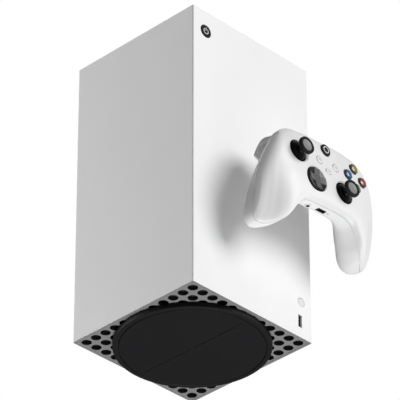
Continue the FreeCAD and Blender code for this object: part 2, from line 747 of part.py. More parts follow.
def front_shell(half):
    """Front half of the case with the openings for sticks, pad and buttons."""
    gap = size("button_gap")
    low = -8.0
    x, y = PAD_CENTRE
    collar = Part.makeCylinder(size("pad_hole") + 1.4, 7.6, Vector(x, y, -8.2))
    tools = [upright_hole(size("stick_hole"), place, low) for place in (LEFT_STICK, RIGHT_STICK)]
    tools.append(upright_hole(size("pad_hole"), PAD_CENTRE, -12.0))
    tools += [upright_hole(size("face_radius") + gap, place, low) for place in face_buttons_places().values()]
    tools += [upright_hole(size("small_radius") + gap, place, low) for place in (VIEW, MENU)]
    tools.append(upright_hole(size("guide_radius") + gap, GUIDE, low))
    tools.append(share_prism(gap, low, 60))
    rooms = [(place, size("face_radius")) for place in face_buttons_places().values()]
    rooms += [(VIEW, size("small_radius")), (MENU, size("small_radius")), (GUIDE, size("guide_radius"))]
    for place, radius in rooms:
        ceiling = seat(place)[2] - size("button_skirt") + 0.3
        tools.append(upright_hole(radius + size("button_flange") + gap, place, ceiling - 8, 8))
    tools += [bumper_block(side, 0.5) for side in (-1, 1)]
    tools.append(bridge_block(0.15))
    pivot = Vector(x - 16, y, size("pad_pivot"))
    tools.append(Part.makeCylinder(0.66, 32, pivot, Vector(1, 0, 0)))
    return half.fuse(collar).cut(tools)


def rear_shell(half, outer):
    """Back half of the case: battery opening, trigger openings and the ribs of their pins."""
    pivot_y, pivot_z = TRIGGER_PIVOT
    low, high = TRIGGER_SPAN
    ribs = []
    for side in (-1, 1):
        for start, thick in ((low - 3.4, 2.0), (high + 1.4, 1.8)):
            first = start if side > 0 else -start - thick
            ribs.append(Part.makeBox(thick, 30, 7, Vector(first, pivot_y - 3.5, pivot_z - 3.5)).common(outer))
    tools = [bumper_block(side, 0.5) for side in (-1, 1)]
    tools += [trigger_block(side) for side in (-1, 1)]
    tools += [bridge_block(0.15), door_block(0.0)]
    tools.append(Part.makeCylinder(3.1, 12, Vector(-16.1, -34, -16.6), Vector(0, 1, 0)))
    tools.append(Part.makeBox(11.2, 12, 4.6, Vector(-5.6, -34, -17.3)))
    tools.append(Part.makeCylinder(0.9, 12, Vector(9.2, -34, -15.0), Vector(0, 1, 0)))
    for side in (-1, 1):
        start = Vector(side * (low - 4), pivot_y, pivot_z)
        tools.append(Part.makeCylinder(1.0, high - low + 8, start, Vector(side, 0, 0)))
    for x, y in SCREW_PLACES:
        tools.append(Part.makeCylinder(1.3, 60, Vector(x, y, -60)))
    return half.fuse(ribs).cut(tools)


SCREW_PLACES = ((-62.0, -30.0), (62.0, -30.0), (-45.0, 5.0), (45.0, 5.0))


def controller_case(pose):
    """The two case halves, and the pieces that fill openings in them."""
    both = (True, False)
    outer = case_loft(0, both)
    hollow = case_loft(size("case_wall"), both)
    wall = outer.cut(hollow)
    front = case_loft(0, (True,)).cut(hollow)
    rear = case_loft(0, (False,)).cut(hollow)
    keep(fixed_shape("front_half", biggest(front_shell(front))), "front_shell", pose)
    keep(fixed_shape("rear_half", biggest(rear_shell(rear, outer))), "rear_shell", pose)
    keep(fixed_shape("door_cover", biggest(wall.common(door_block(-0.3)))), "battery_door", pose)
    for side, node in ((-1, "left_bumper"), (1, "right_bumper")):
        keep(fixed_shape(f"{node}_wall", biggest(wall.common(bumper_block(side, 0)))), node, pose)
    socket_mouth = Part.makeBox(9.4, 20, 3.6, Vector(-4.7, 30, -12.8))
    sync_hole = Part.makeCylinder(2.3, 20, Vector(-14.0, 30, -11.0), Vector(0, 1, 0))
    bridge = wall.common(bridge_block(0)).cut([socket_mouth, sync_hole])
    keep(fixed_shape("bridge_wall", biggest(bridge)), "bumper_bridge", pose)


def biggest(shape):
    """The largest solid of a shape, which leaves stray slivers behind."""
    return max(shape.Solids, key=lambda solid: solid.Volume)


# ---- controller: triggers ----------------------------------------------------------------------

TRIGGER_FACE = [(41.0, -17.6), (41.6, -24), (40.8, -31), (37.6, -37.5), (32.0, -42.0), (24.0, -44.6)]
TRIGGER_BACK = [(25.0, -42.2), (30.8, -39.4), (35.4, -35.2), (38.0, -29.6), (38.9, -23.8), (38.4, -17.6)]
TRIGGER_CHEEK = [(19.4, -17.0), (20.4, -15.0), (22.4, -14.4), (24.6, -15.4), (26.6, -17.8), (38.6, -17.8),
                 (40.4, -24), (38.6, -31), (36.0, -34.0), (33.0, -24.0), (28.0, -20.4), (20.2, -19.2)]


def smooth_edge(points):
    curve = Part.BSplineCurve()
    curve.interpolate(Points=points)
    return curve.toShape()


def trigger(node, side, pose):
    """Curved blade with two cheeks that swing on the trigger's pin."""
    low, high = TRIGGER_SPAN
    start = low if side > 0 else -high
    face = [Vector(start, y, z) for y, z in TRIGGER_FACE]
    back = [Vector(start, y, z) for y, z in TRIGGER_BACK]
    edges = [smooth_edge(face), Part.makeLine(face[-1], back[0]), smooth_edge(back),
             Part.makeLine(back[-1], face[0])]
    blade = Part.Face(Part.Wire(edges)).extrude(Vector(high - low, 0, 0))
    cheeks = []
    for across in (low, high - 5.0):
        near = across if side > 0 else -across - 1.6
        corners = [Vector(near, y, z) for y, z in TRIGGER_CHEEK]
        cheeks.append(Part.Face(Part.makePolygon(corners + corners[:1])).extrude(Vector(1.6, 0, 0)))
    pivot = Vector(start - 2, *TRIGGER_PIVOT)
    hole = Part.makeCylinder(1.05, high - low + 4, pivot, Vector(1, 0, 0))
    shape = blade.fuse(cheeks).cut(hole)
    long_edges = [
        edge for edge in shape.Edges
        if edge.BoundBox.XLength < 0.1 and edge.BoundBox.ZMin < -30 and edge.BoundBox.ZLength > 10
        and edge.BoundBox.YMax > 41.3
    ]
    rounded = shape.makeFillet(1.0, long_edges) if long_edges else shape
    keep(fixed_shape(f"{node}_shape", rounded), node, pose)


def trigger_pins(pose):
    low, high = TRIGGER_SPAN
    y, z = TRIGGER_PIVOT
    pins = [
        rod("left_pin", 1.0, high - low + 5.6, (-high - 3.0, y, z), "+x"),
        rod("right_pin", 1.0, high - low + 5.6, (low - 2.6, y, z), "+x"),
    ]
    keep(group("trigger_pin_pair", pins), "trigger_pins", pose)


# ---- controller: sticks and pad ----------------------------------------------------------------

def shifted(pose, x, y, z=0.0):
    """The controller's pose moved within its own frame."""
    return pose.multiply(placed(x, y, z))


def stick(name, place, pose):
    """One thumb stick: housing, cross rocker, shaft and cap, all about the pivot."""
    x, y = place
    pivot = size("stick_pivot")
    floor = size("circuit_top") + 0.02
    half = 6.8
    case = box(f"{name}_case", (2 * half, 2 * half, 7.4), (-half, -half, floor - pivot))
    room = box(f"{name}_room", (2 * half - 2, 2 * half - 2, 7.4), (1 - half, 1 - half, floor - pivot + 0.9))
    holes = rod(f"{name}_bearing", 0.95, 2 * half + 2, (-half - 1, 0, 0), "+x")
    base = shifted(pose, x, y, pivot)
    keep(cut(f"{name}_housing", case, [room, holes]), f"{name}_module", base)

    ring = cut(f"{name}_ring", box(f"{name}_ring_outer", (8.6, 8.6, 2.0), (-4.3, -4.3, -1.0)),
               [box(f"{name}_ring_inner", (5.6, 5.6, 4.0), (-2.8, -2.8, -2.0)),
                rod(f"{name}_ring_hole", 0.65, 12, (0, -6, 0), "+y")])
    trunnions = [
        rod(f"{name}_trunnion_near", 0.9, 2.4, (-6.6, 0, 0), "+x"),
        rod(f"{name}_trunnion_far", 0.9, 2.4, (4.2, 0, 0), "+x"),
    ]
    keep(fuse(f"{name}_cross", [ring] + trunnions), f"{name}_rocker", base)

    shaft = [
        ball(f"{name}_ball", 2.1, (0, 0, 0)),
        rod(f"{name}_rod", 1.5, 11.5, (0, 0, 0)),
        rod(f"{name}_shaft_pin", 0.6, 8.4, (0, -4.2, 0), "+y"),
    ]
    keep(fuse(f"{name}_post", shaft), f"{name}_shaft", base)
    keep(stick_cap(name), f"{name}_cap", base)


def stick_cap(name):
    """Cap with its dished top, its waist and the dome that closes the opening."""
    dome = size("stick_dome")
    skin = 1.3
    top = size("stick_top") - size("stick_pivot")
    rim = size("stick_cap")
    first = 12.0
    last = 80.0
    steps = 8
    outer = []
    inner = []
    for k in range(steps + 1):
        angle = math.radians(last + (28.0 - last) * k / steps)
        outer.append((dome * math.sin(angle), dome * math.cos(angle)))
        angle = math.radians(first + 10 + (last - first - 10) * k / steps)
        inner.append(((dome - skin) * math.sin(angle), (dome - skin) * math.cos(angle)))
    waist = [(5.4, dome - 0.6), (5.4, dome + 0.6), (6.2, top - 4.6), (rim - 0.5, top - 3.8), (rim, top - 3.0)]
    crown = [(rim, top - 0.8), (rim - 0.6, top), (rim - 1.6, top), (rim - 2.3, top - 0.8), (3.5, top - 1.5),
             (0, top - 1.6)]
    bore = [(0, 12.2), (1.56, 12.2), (1.56, dome - skin - 1.8), (3.4, dome - skin - 1.8)]
    return turned(f"{name}_top", outer + waist + crown + bore + inner)


def directional_pad(pose):
    """Tilting plate in the opening's collar, and the faceted disc that rocks on it."""
    x, y = PAD_CENTRE
    pivot = size("pad_pivot")
    base = shifted(pose, x, y, pivot)
    plate = cut("pad_ring", rod("pad_plate_disc", 10.6, 2.4, (0, 0, -1.2)),
                [rod("pad_plate_hole", 3.4, 4, (0, 0, -2)), rod("pad_plate_bearing", 0.66, 14, (0, -7, 0), "+y")])
    pins = [
        rod("pad_pin_near", 0.6, 3.2, (-13.4, 0, 0), "+x"),
        rod("pad_pin_far", 0.6, 3.2, (10.2, 0, 0), "+x"),
    ]
    keep(fuse("pad_tilting", [plate] + pins), "dpad_plate", base)

    radius = size("pad_disc")
    height = -pivot
    dish = turned("pad_dish", [
        (0, height - 1.4), (radius - 0.2, height - 1.4), (radius, height - 1.2), (radius, height + 1.3),
        (radius - 0.5, height + 1.8), (radius - 1.0, height + 1.8), (radius - 4.5, height + 0.5),
        (0, height + 0.2),
    ])
    arms = [
        box("pad_arm_x", (2 * radius - 1.4, 7.2, 2.0), (-radius + 0.7, -3.6, height + 0.2)),
        box("pad_arm_y", (7.2, 2 * radius - 1.4, 2.0), (-3.6, -radius + 0.7, height + 0.2)),
    ]
    hollow = ball("pad_thumb", 26, (0, 0, height + 27.4))
    cross = cut("pad_cross", fuse("pad_cross_bars", arms), [hollow])
    stem = [
        rod("pad_stem", 2.6, height - 1.4 + 1.8, (0, 0, -1.8)),
        rod("pad_stem_pin", 0.6, 11.6, (0, -5.8, 0), "+y"),
    ]
    keep(fuse("pad_rocking", [dish, cross] + stem), "dpad_disc", base)


# ---- controller: buttons -----------------------------------------------------------------------

def case_height(x, y, front):
    """Height of the case's front or back surface at a point of the face."""
    first = 0 if front else math.pi
    steps = 400
    rim = [case_point(x, first + math.pi * k / steps, 0) for k in range(steps + 1)]
    return min(rim, key=lambda point: abs(point[0] - y))[1]


def seat(place):
    """A control's place on the case's front surface."""
    return (*place, case_height(*place, True))


def round_button(node, place, radius, top, crown, reach, pose):
    """A button turned about its own axis: crowned cap, skirt, retaining flange and plunger."""
    under = -size("button_skirt")
    flange = radius + size("button_flange")
    foot = under - 1.2
    points = [(0, top), (radius * 0.45, top - crown * 0.15), (radius * 0.8, top - crown * 0.5),
              (radius, top - crown), (radius, under), (flange, under), (flange, foot), (radius - 0.6, foot),
              (radius - 0.6, foot - reach), (0, foot - reach)]
    keep(turned(f"{node}_turning", points), node, shifted(pose, *seat(place)))


def controller_buttons(pose):
    for node, place in face_buttons_places().items():
        round_button(node, place, size("face_radius"), 2.6, 0.9, 0.4, pose)
    for node, place in (("view_button", VIEW), ("menu_button", MENU)):
        round_button(node, place, size("small_radius"), 0.6, 0.3, 0.4, pose)
    round_button("guide_button", GUIDE, size("guide_radius"), 1.6, 0.4, 0.4, pose)
    skirt = size("button_skirt")
    level = seat(SHARE)[2]
    cap = share_prism(0, level - skirt - 0.6, skirt + 1.2)
    cap = cap.fuse(share_prism(size("button_flange"), level - skirt - 1.2, 1.2)).removeSplitter()
    keep(fixed_shape("share_shape", cap), "share_button", pose)
    sync = turned("sync_turning", [(0, 0), (2.0, 0), (2.0, -3.0), (3.0, -3.0), (3.0, -4.0), (0, -4.0)])
    keep(sync, "sync_button", shifted(pose, -14.0, 41.0, -11.0).multiply(placed(0, 0, 0, TURNS["+y"])))


def button_mat(pose):
    """Silicone mat over the board, with a dome under each face button."""
    x, y = CLUSTER
    top = size("circuit_top")
    sheet = box("mat_sheet", (29, 29, 0.9), (x - 14.5, y - 14.5, top + 0.02))
    domes = []
    for index, (across, along) in enumerate(face_buttons_places().values()):
        domes.append(turned(f"mat_dome_{index}", [(0, 0), (4.6, 0), (3.4, 2.4), (0, 2.4)]))
        domes[-1].Placement = placed(across, along, top + 0.5)
    keep(fuse("mat_built", [sheet] + domes), "button_mat", pose)


# ---- controller: inside ------------------------------------------------------------------------

def controller_board(pose):
    thick = size("circuit")
    top = size("circuit_top")
    sheet = extruded("board_outline", [
        (-56, -2), (-50, 26), (-26, 30), (26, 30), (54, 26), (56, -2), (30, -22), (-30, -22),
    ], top - thick, thick, "+z")
    chips = [
        box("board_radio", (11, 11, 1.4), (-5.5, -18, top - 0.1)),
        box("board_chip", (9, 9, 1.2), (-4.5, 18, top - 0.1)),
    ]
    keep(fuse("board_built", [sheet] + chips), "controller_board", pose)


def batteries(pose):
    radius = size("cell_radius")
    length = size("cell_length")
    cells = []
    for index, (y, way) in enumerate(((1.0, 1), (16.0, -1))):
        cell = turned(f"cell_{index}", [
            (0, 0), (radius - 0.4, 0), (radius, 0.4), (radius, length - 1.8), (radius - 0.5, length - 1.3),
            (2.7, length - 1.3), (2.6, length), (0, length),
        ])
        turn = FreeCAD.Rotation(Vector(0, 1, 0), 90 * way)
        cell.Placement = placed(-way * length / 2, y, -19.6, turn)
        cells.append(cell)
    keep(group("cell_pair", cells), "battery_cells", pose)


def rumble_motors(pose):
    """A large motor in each grip and a small one behind each trigger."""
    motors = []
    for index, (x, y, z, radius) in enumerate((
            (-57, -34, -29, 6.5), (57, -34, -29, 6.5), (-45, 12, -21, 3.5), (45, 12, -21, 3.5))):
        motor = turned(f"motor_{index}", [
            (0, 0), (radius, 0), (radius, 7), (1.2, 7), (1.2, 9.5), (radius - 0.8, 9.5), (radius - 0.8, 12.5),
            (0, 12.5),
        ])
        motor.Placement = placed(x - 6 if x > 0 else x + 6, y, z, FreeCAD.Rotation(Vector(0, 1, 0), 90 if x > 0 else -90))
        motors.append(motor)
    keep(group("motor_set", motors), "rumble_motors", pose)


def controller_sockets(pose):
    """Headset jack and expansion port in the lower edge, charging socket in the upper edge."""
    bore = "dim.jack_bore"
    jack = cut("jack_body", rod("jack_barrel", 3.0, 13.0, (-16.1, -26.8, -16.6), "+y"),
               [rod("jack_hole", bore, 12.0, (-16.1, -27.8, -16.6), "+y")])
    keep(jack, "headset_jack", pose)
    port = cut("port_body", box("port_block", (11.0, 9.0, 4.4), (-5.5, -26.8, -17.2)),
               [box("port_hole", (8.6, 7.0, 2.4), (-4.3, -27.8, -16.2))])
    tongue = box("port_tongue", (6.4, 5.2, 0.8), (-3.2, -25.4, -15.4))
    keep(fuse("port_whole", [port, tongue]), "expansion_port", pose)
    shell = cut("charge_body", box("charge_block", (9.2, 7.6, 3.4), (-4.6, 32.6, -12.7)),
                [box("charge_hole", (8.3, 7.0, 2.5), (-4.15, 34.0, -12.25))])
    blade = box("charge_blade", (6.6, 5.0, 0.7), (-3.3, 33.4, -11.35))
    keep(fuse("charge_whole", [shell, blade]), "usb_c_socket", pose)


def shell_screws(pose):
    """Screws that clamp the case halves, sunk in the back."""
    screws = []
    for index, (x, y) in enumerate(SCREW_PLACES):
        head = case_height(x, y, False) + 1.2
        screws.append(turned(f"shell_screw_{index}", [
            (0, 0), (1.2, 0), (1.2, 1.6), (0.9, 1.6), (0.9, 12.0), (0, 12.0),
        ]))
        screws[-1].Placement = placed(x, y, head)
    keep(group("shell_screw_set", screws), "shell_screws", pose)


# ---- build, check, write -----------------------------------------------------------------------

def build_console():
    outer_shell()
    bottom_grille()
    top_grille()
    foot()
    rear_panel()
    rear_sockets()
    front_button("power_button", size("power_radius"), size("power_place"), size("power_level"), 0.35, 1.2, 1.0)
    front_button("pair_button", size("pair_radius"), size("pair_place"), size("pair_level"), 0.15, 1.0, 0.8)
    front_usb_socket()
    side_feet()
    center_chassis()
    boards()
    heat_sink()
    power_supply()
    fan()
    console_screws()


def build_controller():
    pose = controller_pose()
    controller_case(pose)
    trigger("left_trigger", -1, pose)
    trigger("right_trigger", 1, pose)
    trigger_pins(pose)
    stick("left_stick", LEFT_STICK, pose)
    stick("right_stick", RIGHT_STICK, pose)
    directional_pad(pose)
    controller_buttons(pose)
    button_mat(pose)
    controller_board(pose)
    batteries(pose)
    rumble_motors(pose)
    controller_sockets(pose)
    shell_screws(pose)


def check_document():
    """Stop on any object that failed to recompute, or on a bad shape."""
    for thing in DOC.Objects:
        if "Invalid" in thing.State or "Error" in thing.State:
            raise RuntimeError(f"{thing.Label} is {thing.State}")
    for node, thing in KEPT.items():
        if thing.Shape.isNull() or not thing.Shape.isValid() or not thing.Shape.Solids:
            raise RuntimeError(f"{node} has a bad shape")


def write_parts():
    os.makedirs("parts", exist_ok=True)
    for node, thing in KEPT.items():
        thing.Shape.exportStep(os.path.join("parts", f"{node}.step"))
        print(f"{node}: {len(thing.Shape.Solids)} solids, {thing.Shape.Volume / 1000:.2f} cm3")


fill_sheet()
build_console()
build_controller()
DOC.recompute()
check_document()
write_parts()
print(len(KEPT), "nodes")
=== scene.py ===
import bmesh
import bpy
import json
import math
from mathutils import Matrix, Vector


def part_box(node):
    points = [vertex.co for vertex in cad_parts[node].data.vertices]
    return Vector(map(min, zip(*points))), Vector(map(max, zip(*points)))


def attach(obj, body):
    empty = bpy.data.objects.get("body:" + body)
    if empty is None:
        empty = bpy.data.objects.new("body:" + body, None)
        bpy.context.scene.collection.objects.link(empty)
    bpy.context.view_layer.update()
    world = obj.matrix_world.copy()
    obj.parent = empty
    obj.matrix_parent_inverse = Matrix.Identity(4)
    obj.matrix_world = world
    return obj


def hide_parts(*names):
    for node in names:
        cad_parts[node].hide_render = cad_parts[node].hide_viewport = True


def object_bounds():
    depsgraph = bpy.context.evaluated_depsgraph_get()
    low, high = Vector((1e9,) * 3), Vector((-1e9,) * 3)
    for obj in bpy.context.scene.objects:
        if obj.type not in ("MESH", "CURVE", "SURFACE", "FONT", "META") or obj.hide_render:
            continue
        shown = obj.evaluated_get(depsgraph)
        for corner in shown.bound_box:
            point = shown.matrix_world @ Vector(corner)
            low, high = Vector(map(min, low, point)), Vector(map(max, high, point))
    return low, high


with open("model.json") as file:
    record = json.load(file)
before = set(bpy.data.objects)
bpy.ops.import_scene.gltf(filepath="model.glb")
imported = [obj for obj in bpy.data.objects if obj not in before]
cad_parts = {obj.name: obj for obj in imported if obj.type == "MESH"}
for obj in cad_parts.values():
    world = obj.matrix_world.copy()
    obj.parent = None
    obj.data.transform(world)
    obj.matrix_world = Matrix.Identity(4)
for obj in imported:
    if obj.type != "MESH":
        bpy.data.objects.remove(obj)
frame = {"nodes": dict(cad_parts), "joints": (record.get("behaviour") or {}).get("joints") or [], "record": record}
cad_low, cad_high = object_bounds()

# The looks of a tower game console and its wireless controller. Metres. Pieces of the controller
# are drawn in millimetres in its own frame: x to its right, y towards the bumpers, z out of its face.

MM = 0.001


# ---- the controller's own frame, from its stick joints -----------------------------------------

LEFT_STICK = Vector((-38.0, 15.3, -7.0))
RIGHT_STICK = Vector((18.7, -8.1, -7.0))
PAD_CENTRE = Vector((-18.7, -8.1, -5.6))
CLUSTER = Vector((38.0, 15.3, 0.0))
CLUSTER_STEP = 10.5
GUIDE = Vector((0.0, 30.5, 0.0))
VIEW = Vector((-10.9, 15.5, 0.0))
MENU = Vector((10.9, 15.5, 0.0))
SHARE = Vector((0.0, 7.0, 0.0))

# Radii of the openings for the sticks and the pad, radii of the buttons, and the gap round a button.
STICK_WELL = 10.9
PAD_WELL = 12.5
DOME_RADIUS = 5.05
MENU_RADIUS = 3.9
GUIDE_RADIUS = 5.9
SHARE_HALF, SHARE_RADIUS = 1.6, 2.6
BUTTON_GAP = 0.3


def joint(name):
    """A joint of the frame, by its name."""
    return next(j for j in frame["joints"] if j["name"] == name)


def controller_matrix():
    """From the controller's millimetres to the row frame's metres."""
    right = Vector(joint("left_stick_pitch")["axis"]).normalized()
    up = Vector(joint("left_stick_roll")["axis"]).normalized()
    out = right.cross(up)
    turn = Matrix((right, up, out)).transposed()
    place = Vector(joint("left_stick_pitch")["pos_m"]) - turn @ LEFT_STICK * MM
    return Matrix.Translation(place) @ turn.to_4x4() @ Matrix.Scale(MM, 4)


TO_ROW = controller_matrix()


# ---- materials ---------------------------------------------------------------------------------

# Sockets of the mix node when it mixes colours.
MIX_FIRST, MIX_SECOND, MIX_RESULT = 6, 7, 2

# Scales of the noise, in cycles per metre, and the radius that counts as an edge, in metres.
DRIFT_SCALE = 14.0
ROUGHNESS_SCALE = 60.0
SCUFF_SCALE = 350.0
CLOUD_SCALE = 500.0
EDGE_RADIUS = 0.0005
COAT_ROUGHNESS = 0.06


def node(tree, kind, **values):
    """A shader node with its settings and input values. Underscores stand for spaces in input names."""
    made = tree.nodes.new(kind)
    for key, value in values.items():
        if hasattr(made, key):
            setattr(made, key, value)
        else:
            made.inputs[key.replace("_", " ")].default_value = value
    return made


def noise(tree, scale, detail=3.0, stretch=None):
    """Noise in the row frame's metres, stretched along an axis where that is asked for."""
    source = node(tree, "ShaderNodeTexCoord").outputs["Object"]
    if stretch:
        mapping = node(tree, "ShaderNodeMapping", Scale=stretch)
        tree.links.new(source, mapping.inputs["Vector"])
        source = mapping.outputs["Vector"]
    made = node(tree, "ShaderNodeTexNoise", Scale=scale, Detail=detail)
    tree.links.new(source, made.inputs["Vector"])
    return made.outputs["Fac"]


def ranged(tree, value, low, high, start=0.3, end=0.7):
    """A value whose span from start to end is mapped onto low to high."""
    made = node(tree, "ShaderNodeMapRange")
    for name, number in (("From Min", start), ("From Max", end), ("To Min", low), ("To Max", high)):
        made.inputs[name].default_value = number
    tree.links.new(value, made.inputs["Value"])
    return made.outputs["Result"]


def blended(tree, factor, first, second):
    """A mix of two colours, each a colour or an output."""
    made = node(tree, "ShaderNodeMix", data_type="RGBA")
    tree.links.new(factor, made.inputs["Factor"])
    for colour, key in ((first, MIX_FIRST), (second, MIX_SECOND)):
        if isinstance(colour, bpy.types.NodeSocket):
            tree.links.new(colour, made.inputs[key])
        else:
            made.inputs[key].default_value = (*colour, 1.0)
    return made.outputs[MIX_RESULT]


def edge_mask(tree, radius):
    """How near a point is to an edge: 0 on flat faces, 1 on edges."""
    soft = node(tree, "ShaderNodeBevel", samples=4, Radius=radius)
    flat = node(tree, "ShaderNodeNewGeometry")
    dot = node(tree, "ShaderNodeVectorMath", operation="DOT_PRODUCT")
    tree.links.new(soft.outputs["Normal"], dot.inputs[0])
    tree.links.new(flat.outputs["Normal"], dot.inputs[1])
    return ranged(tree, dot.outputs["Value"], 1.0, 0.0, 0.88, 0.998)


def scuffed(tree, skin, colour, wear):
    """The skin's colour with its edges rubbed lighter if it is dark, or darker if it is light."""
    worn = tuple(c + (0.75 - c) * 0.35 if c < 0.4 else c * 0.93 for c in colour)
    scuff = node(tree, "ShaderNodeMath", operation="MULTIPLY")
    tree.links.new(edge_mask(tree, EDGE_RADIUS), scuff.inputs[0])
    tree.links.new(ranged(tree, noise(tree, SCUFF_SCALE), 0.0, wear), scuff.inputs[1])
    return blended(tree, scuff.outputs["Value"], skin, worn)


def facing_down(tree):
    """1 where the surface faces straight down, 0 on walls and upward faces. It masks the painted shade of
    undersides and walls.
    """
    facing = node(tree, "ShaderNodeSeparateXYZ")
    tree.links.new(node(tree, "ShaderNodeNewGeometry").outputs["Normal"], facing.inputs["Vector"])
    return ranged(tree, facing.outputs["Z"], 1.0, 0.0, -0.95, -0.7)


def dimples(tree, scale):
    """A field of small round dots."""
    cells = node(tree, "ShaderNodeTexVoronoi", Scale=scale)
    tree.links.new(node(tree, "ShaderNodeTexCoord").outputs["Object"], cells.inputs["Vector"])
    return ranged(tree, cells.outputs["Distance"], 1.0, 0.0, 0.15, 0.45)


def surface(name, colour, rough, metal=0.0, coat=0.0, grain=2600.0, depth=0.02, mottle=0.03,
            wear=0.0, stretch=None, dots=0.0, gloss=0.5, under=None, walls=None):
    """A moulded or metal surface: colour that drifts a little, fine grain, and worn edges.

    under is a painted shade colour for faces that face down, and walls a painted shade colour for all the others.
    """
    made = bpy.data.materials.new(name)
    made.use_nodes = True
    tree = made.node_tree
    shader = tree.nodes["Principled BSDF"]
    shader.inputs["Metallic"].default_value = metal
    shader.inputs["Coat Weight"].default_value = coat
    shader.inputs["Coat Roughness"].default_value = COAT_ROUGHNESS
    shader.inputs["Specular IOR Level"].default_value = gloss
    lighter = tuple(min(1.0, c * (1 + mottle)) for c in colour)
    darker = tuple(c * (1 - mottle) for c in colour)
    skin = blended(tree, ranged(tree, noise(tree, DRIFT_SCALE), 0.0, 1.0), darker, lighter)
    if wear:
        skin = scuffed(tree, skin, colour, wear)
    # Painted shade: faces that face down take the under colour, and all other faces take the walls colour.
    if under:
        skin = blended(tree, facing_down(tree), skin, under)
    if walls:
        skin = blended(tree, facing_down(tree), walls, skin)
    tree.links.new(skin, shader.inputs["Base Color"])
    cloudy = ranged(tree, noise(tree, ROUGHNESS_SCALE), rough * 0.88, min(1.0, rough * 1.12))
    tree.links.new(cloudy, shader.inputs["Roughness"])
    relief = dimples(tree, dots) if dots else noise(tree, grain, 2.0, stretch)
    bump = node(tree, "ShaderNodeBump", Strength=0.6, Distance=depth * MM)
    tree.links.new(relief, bump.inputs["Height"])
    tree.links.new(bump.outputs["Normal"], shader.inputs["Normal"])
    return made


def lens(name, core, rim):
    """A glossy dark dome with a coloured core, which the mesh's "core" attribute marks."""
    made = surface(name, rim, 0.10, coat=0.35, depth=0.002, gloss=0.4)
    tree = made.node_tree
    shader = tree.nodes["Principled BSDF"]
    mark = node(tree, "ShaderNodeAttribute", attribute_name="core")
    plain = shader.inputs["Base Color"].links[0].from_socket
    cloud = ranged(tree, noise(tree, CLOUD_SCALE), 0.7, 1.0)
    part = node(tree, "ShaderNodeMath", operation="MULTIPLY")
    tree.links.new(mark.outputs["Fac"], part.inputs[0])
    tree.links.new(cloud, part.inputs[1])
    tree.links.new(blended(tree, part.outputs["Value"], plain, core), shader.inputs["Base Color"])
    return made


WHITE = (0.83, 0.83, 0.835)
# Painted shade: a dark grey for the shade under the tower, on faces that are white plastic in the real thing.
PAINTED_UNDER_SHADE = (0.20, 0.20, 0.205)
LOOKS = {
    "shell_white": surface("shell_white", WHITE, 0.50, depth=0.02, mottle=0.008, wear=0.25),
    # Painted shade: the shell's faces that face down are painted dark grey for the shade under the tower.
    "shell_painted_under_shade": surface("shell_painted_under_shade", WHITE, 0.50, depth=0.02, mottle=0.008, wear=0.1,
                           under=PAINTED_UNDER_SHADE),
    "grille_white": surface("grille_white", (0.80, 0.80, 0.805), 0.55, mottle=0.01, wear=0.25),
    # Painted shade: the white perforated base is painted dark grey, and its hole walls and edges near black, for
    # the shade under the tower and in its holes.
    "base_painted_shade": surface("base_painted_shade", PAINTED_UNDER_SHADE, 0.6, mottle=0.02, walls=(0.012, 0.012, 0.012)),
    "foot_black": surface("foot_black", (0.005, 0.005, 0.006), 0.6, depth=0.03, mottle=0.1, wear=0.12,
                          gloss=0.15),
    "controller_white": surface("controller_white", (0.76, 0.76, 0.765), 0.42, depth=0.015, mottle=0.008),
    "gloss_white": surface("gloss_white", (0.76, 0.76, 0.765), 0.22, coat=0.5, depth=0.004, mottle=0.008),
    "black_matte": surface("black_matte", (0.012, 0.012, 0.013), 0.5, depth=0.03, mottle=0.1, wear=0.25),
    "black_gloss": surface("black_gloss", (0.004, 0.004, 0.005), 0.14, depth=0.001, mottle=0.1, gloss=0.3),
    "dome_black": surface("dome_black", (0.003, 0.003, 0.004), 0.22, depth=0.001, mottle=0.1, gloss=0.12),
    "pad_gloss": surface("pad_gloss", (0.085, 0.085, 0.09), 0.2, coat=0.3, depth=0.001, mottle=0.06),
    "black_rubber": surface("black_rubber", (0.006, 0.006, 0.007), 0.62, depth=0.05, mottle=0.12,
                            wear=0.12, gloss=0.2),
    "stick_grey": surface("stick_grey", (0.19, 0.19, 0.195), 0.45, depth=0.03, mottle=0.06, dots=1400.0),
    "socket_steel": surface("socket_steel", (0.5, 0.5, 0.51), 0.3, metal=1.0, stretch=(1.0, 1.0, 0.05)),
    "chassis_metal": surface("chassis_metal", (0.55, 0.56, 0.57), 0.38, metal=1.0, stretch=(0.05, 1.0, 1.0)),
    "board_green": surface("board_green", (0.02, 0.09, 0.045), 0.35, coat=0.4, grain=900.0, mottle=0.25),
    "silicone_grey": surface("silicone_grey", (0.30, 0.30, 0.31), 0.6, mottle=0.05),
    "screw_steel": surface("screw_steel", (0.45, 0.45, 0.46), 0.3, metal=1.0, stretch=(0.1, 1.0, 1.0)),
    "cell_jacket": surface("cell_jacket", (0.05, 0.09, 0.06), 0.25, coat=0.6, mottle=0.05),
    "button_green": lens("button_green", (0.09, 0.22, 0.06), (0.012, 0.02, 0.012)),
    "button_red": lens("button_red", (0.30, 0.04, 0.05), (0.022, 0.012, 0.012)),
    "button_blue": lens("button_blue", (0.03, 0.12, 0.30), (0.010, 0.014, 0.024)),
    "button_yellow": lens("button_yellow", (0.26, 0.23, 0.04), (0.022, 0.020, 0.012)),
}
MARK = surface("mark_light", (0.75, 0.76, 0.77), 0.4, depth=0.002)
GLYPH = surface("mark_grey", (0.42, 0.42, 0.43), 0.4, depth=0.002)
GRIP = surface("grip_white", (0.77, 0.77, 0.775), 0.48, depth=0.05, mottle=0.01, dots=900.0)


# ---- mesh helpers ------------------------------------------------------------------------------

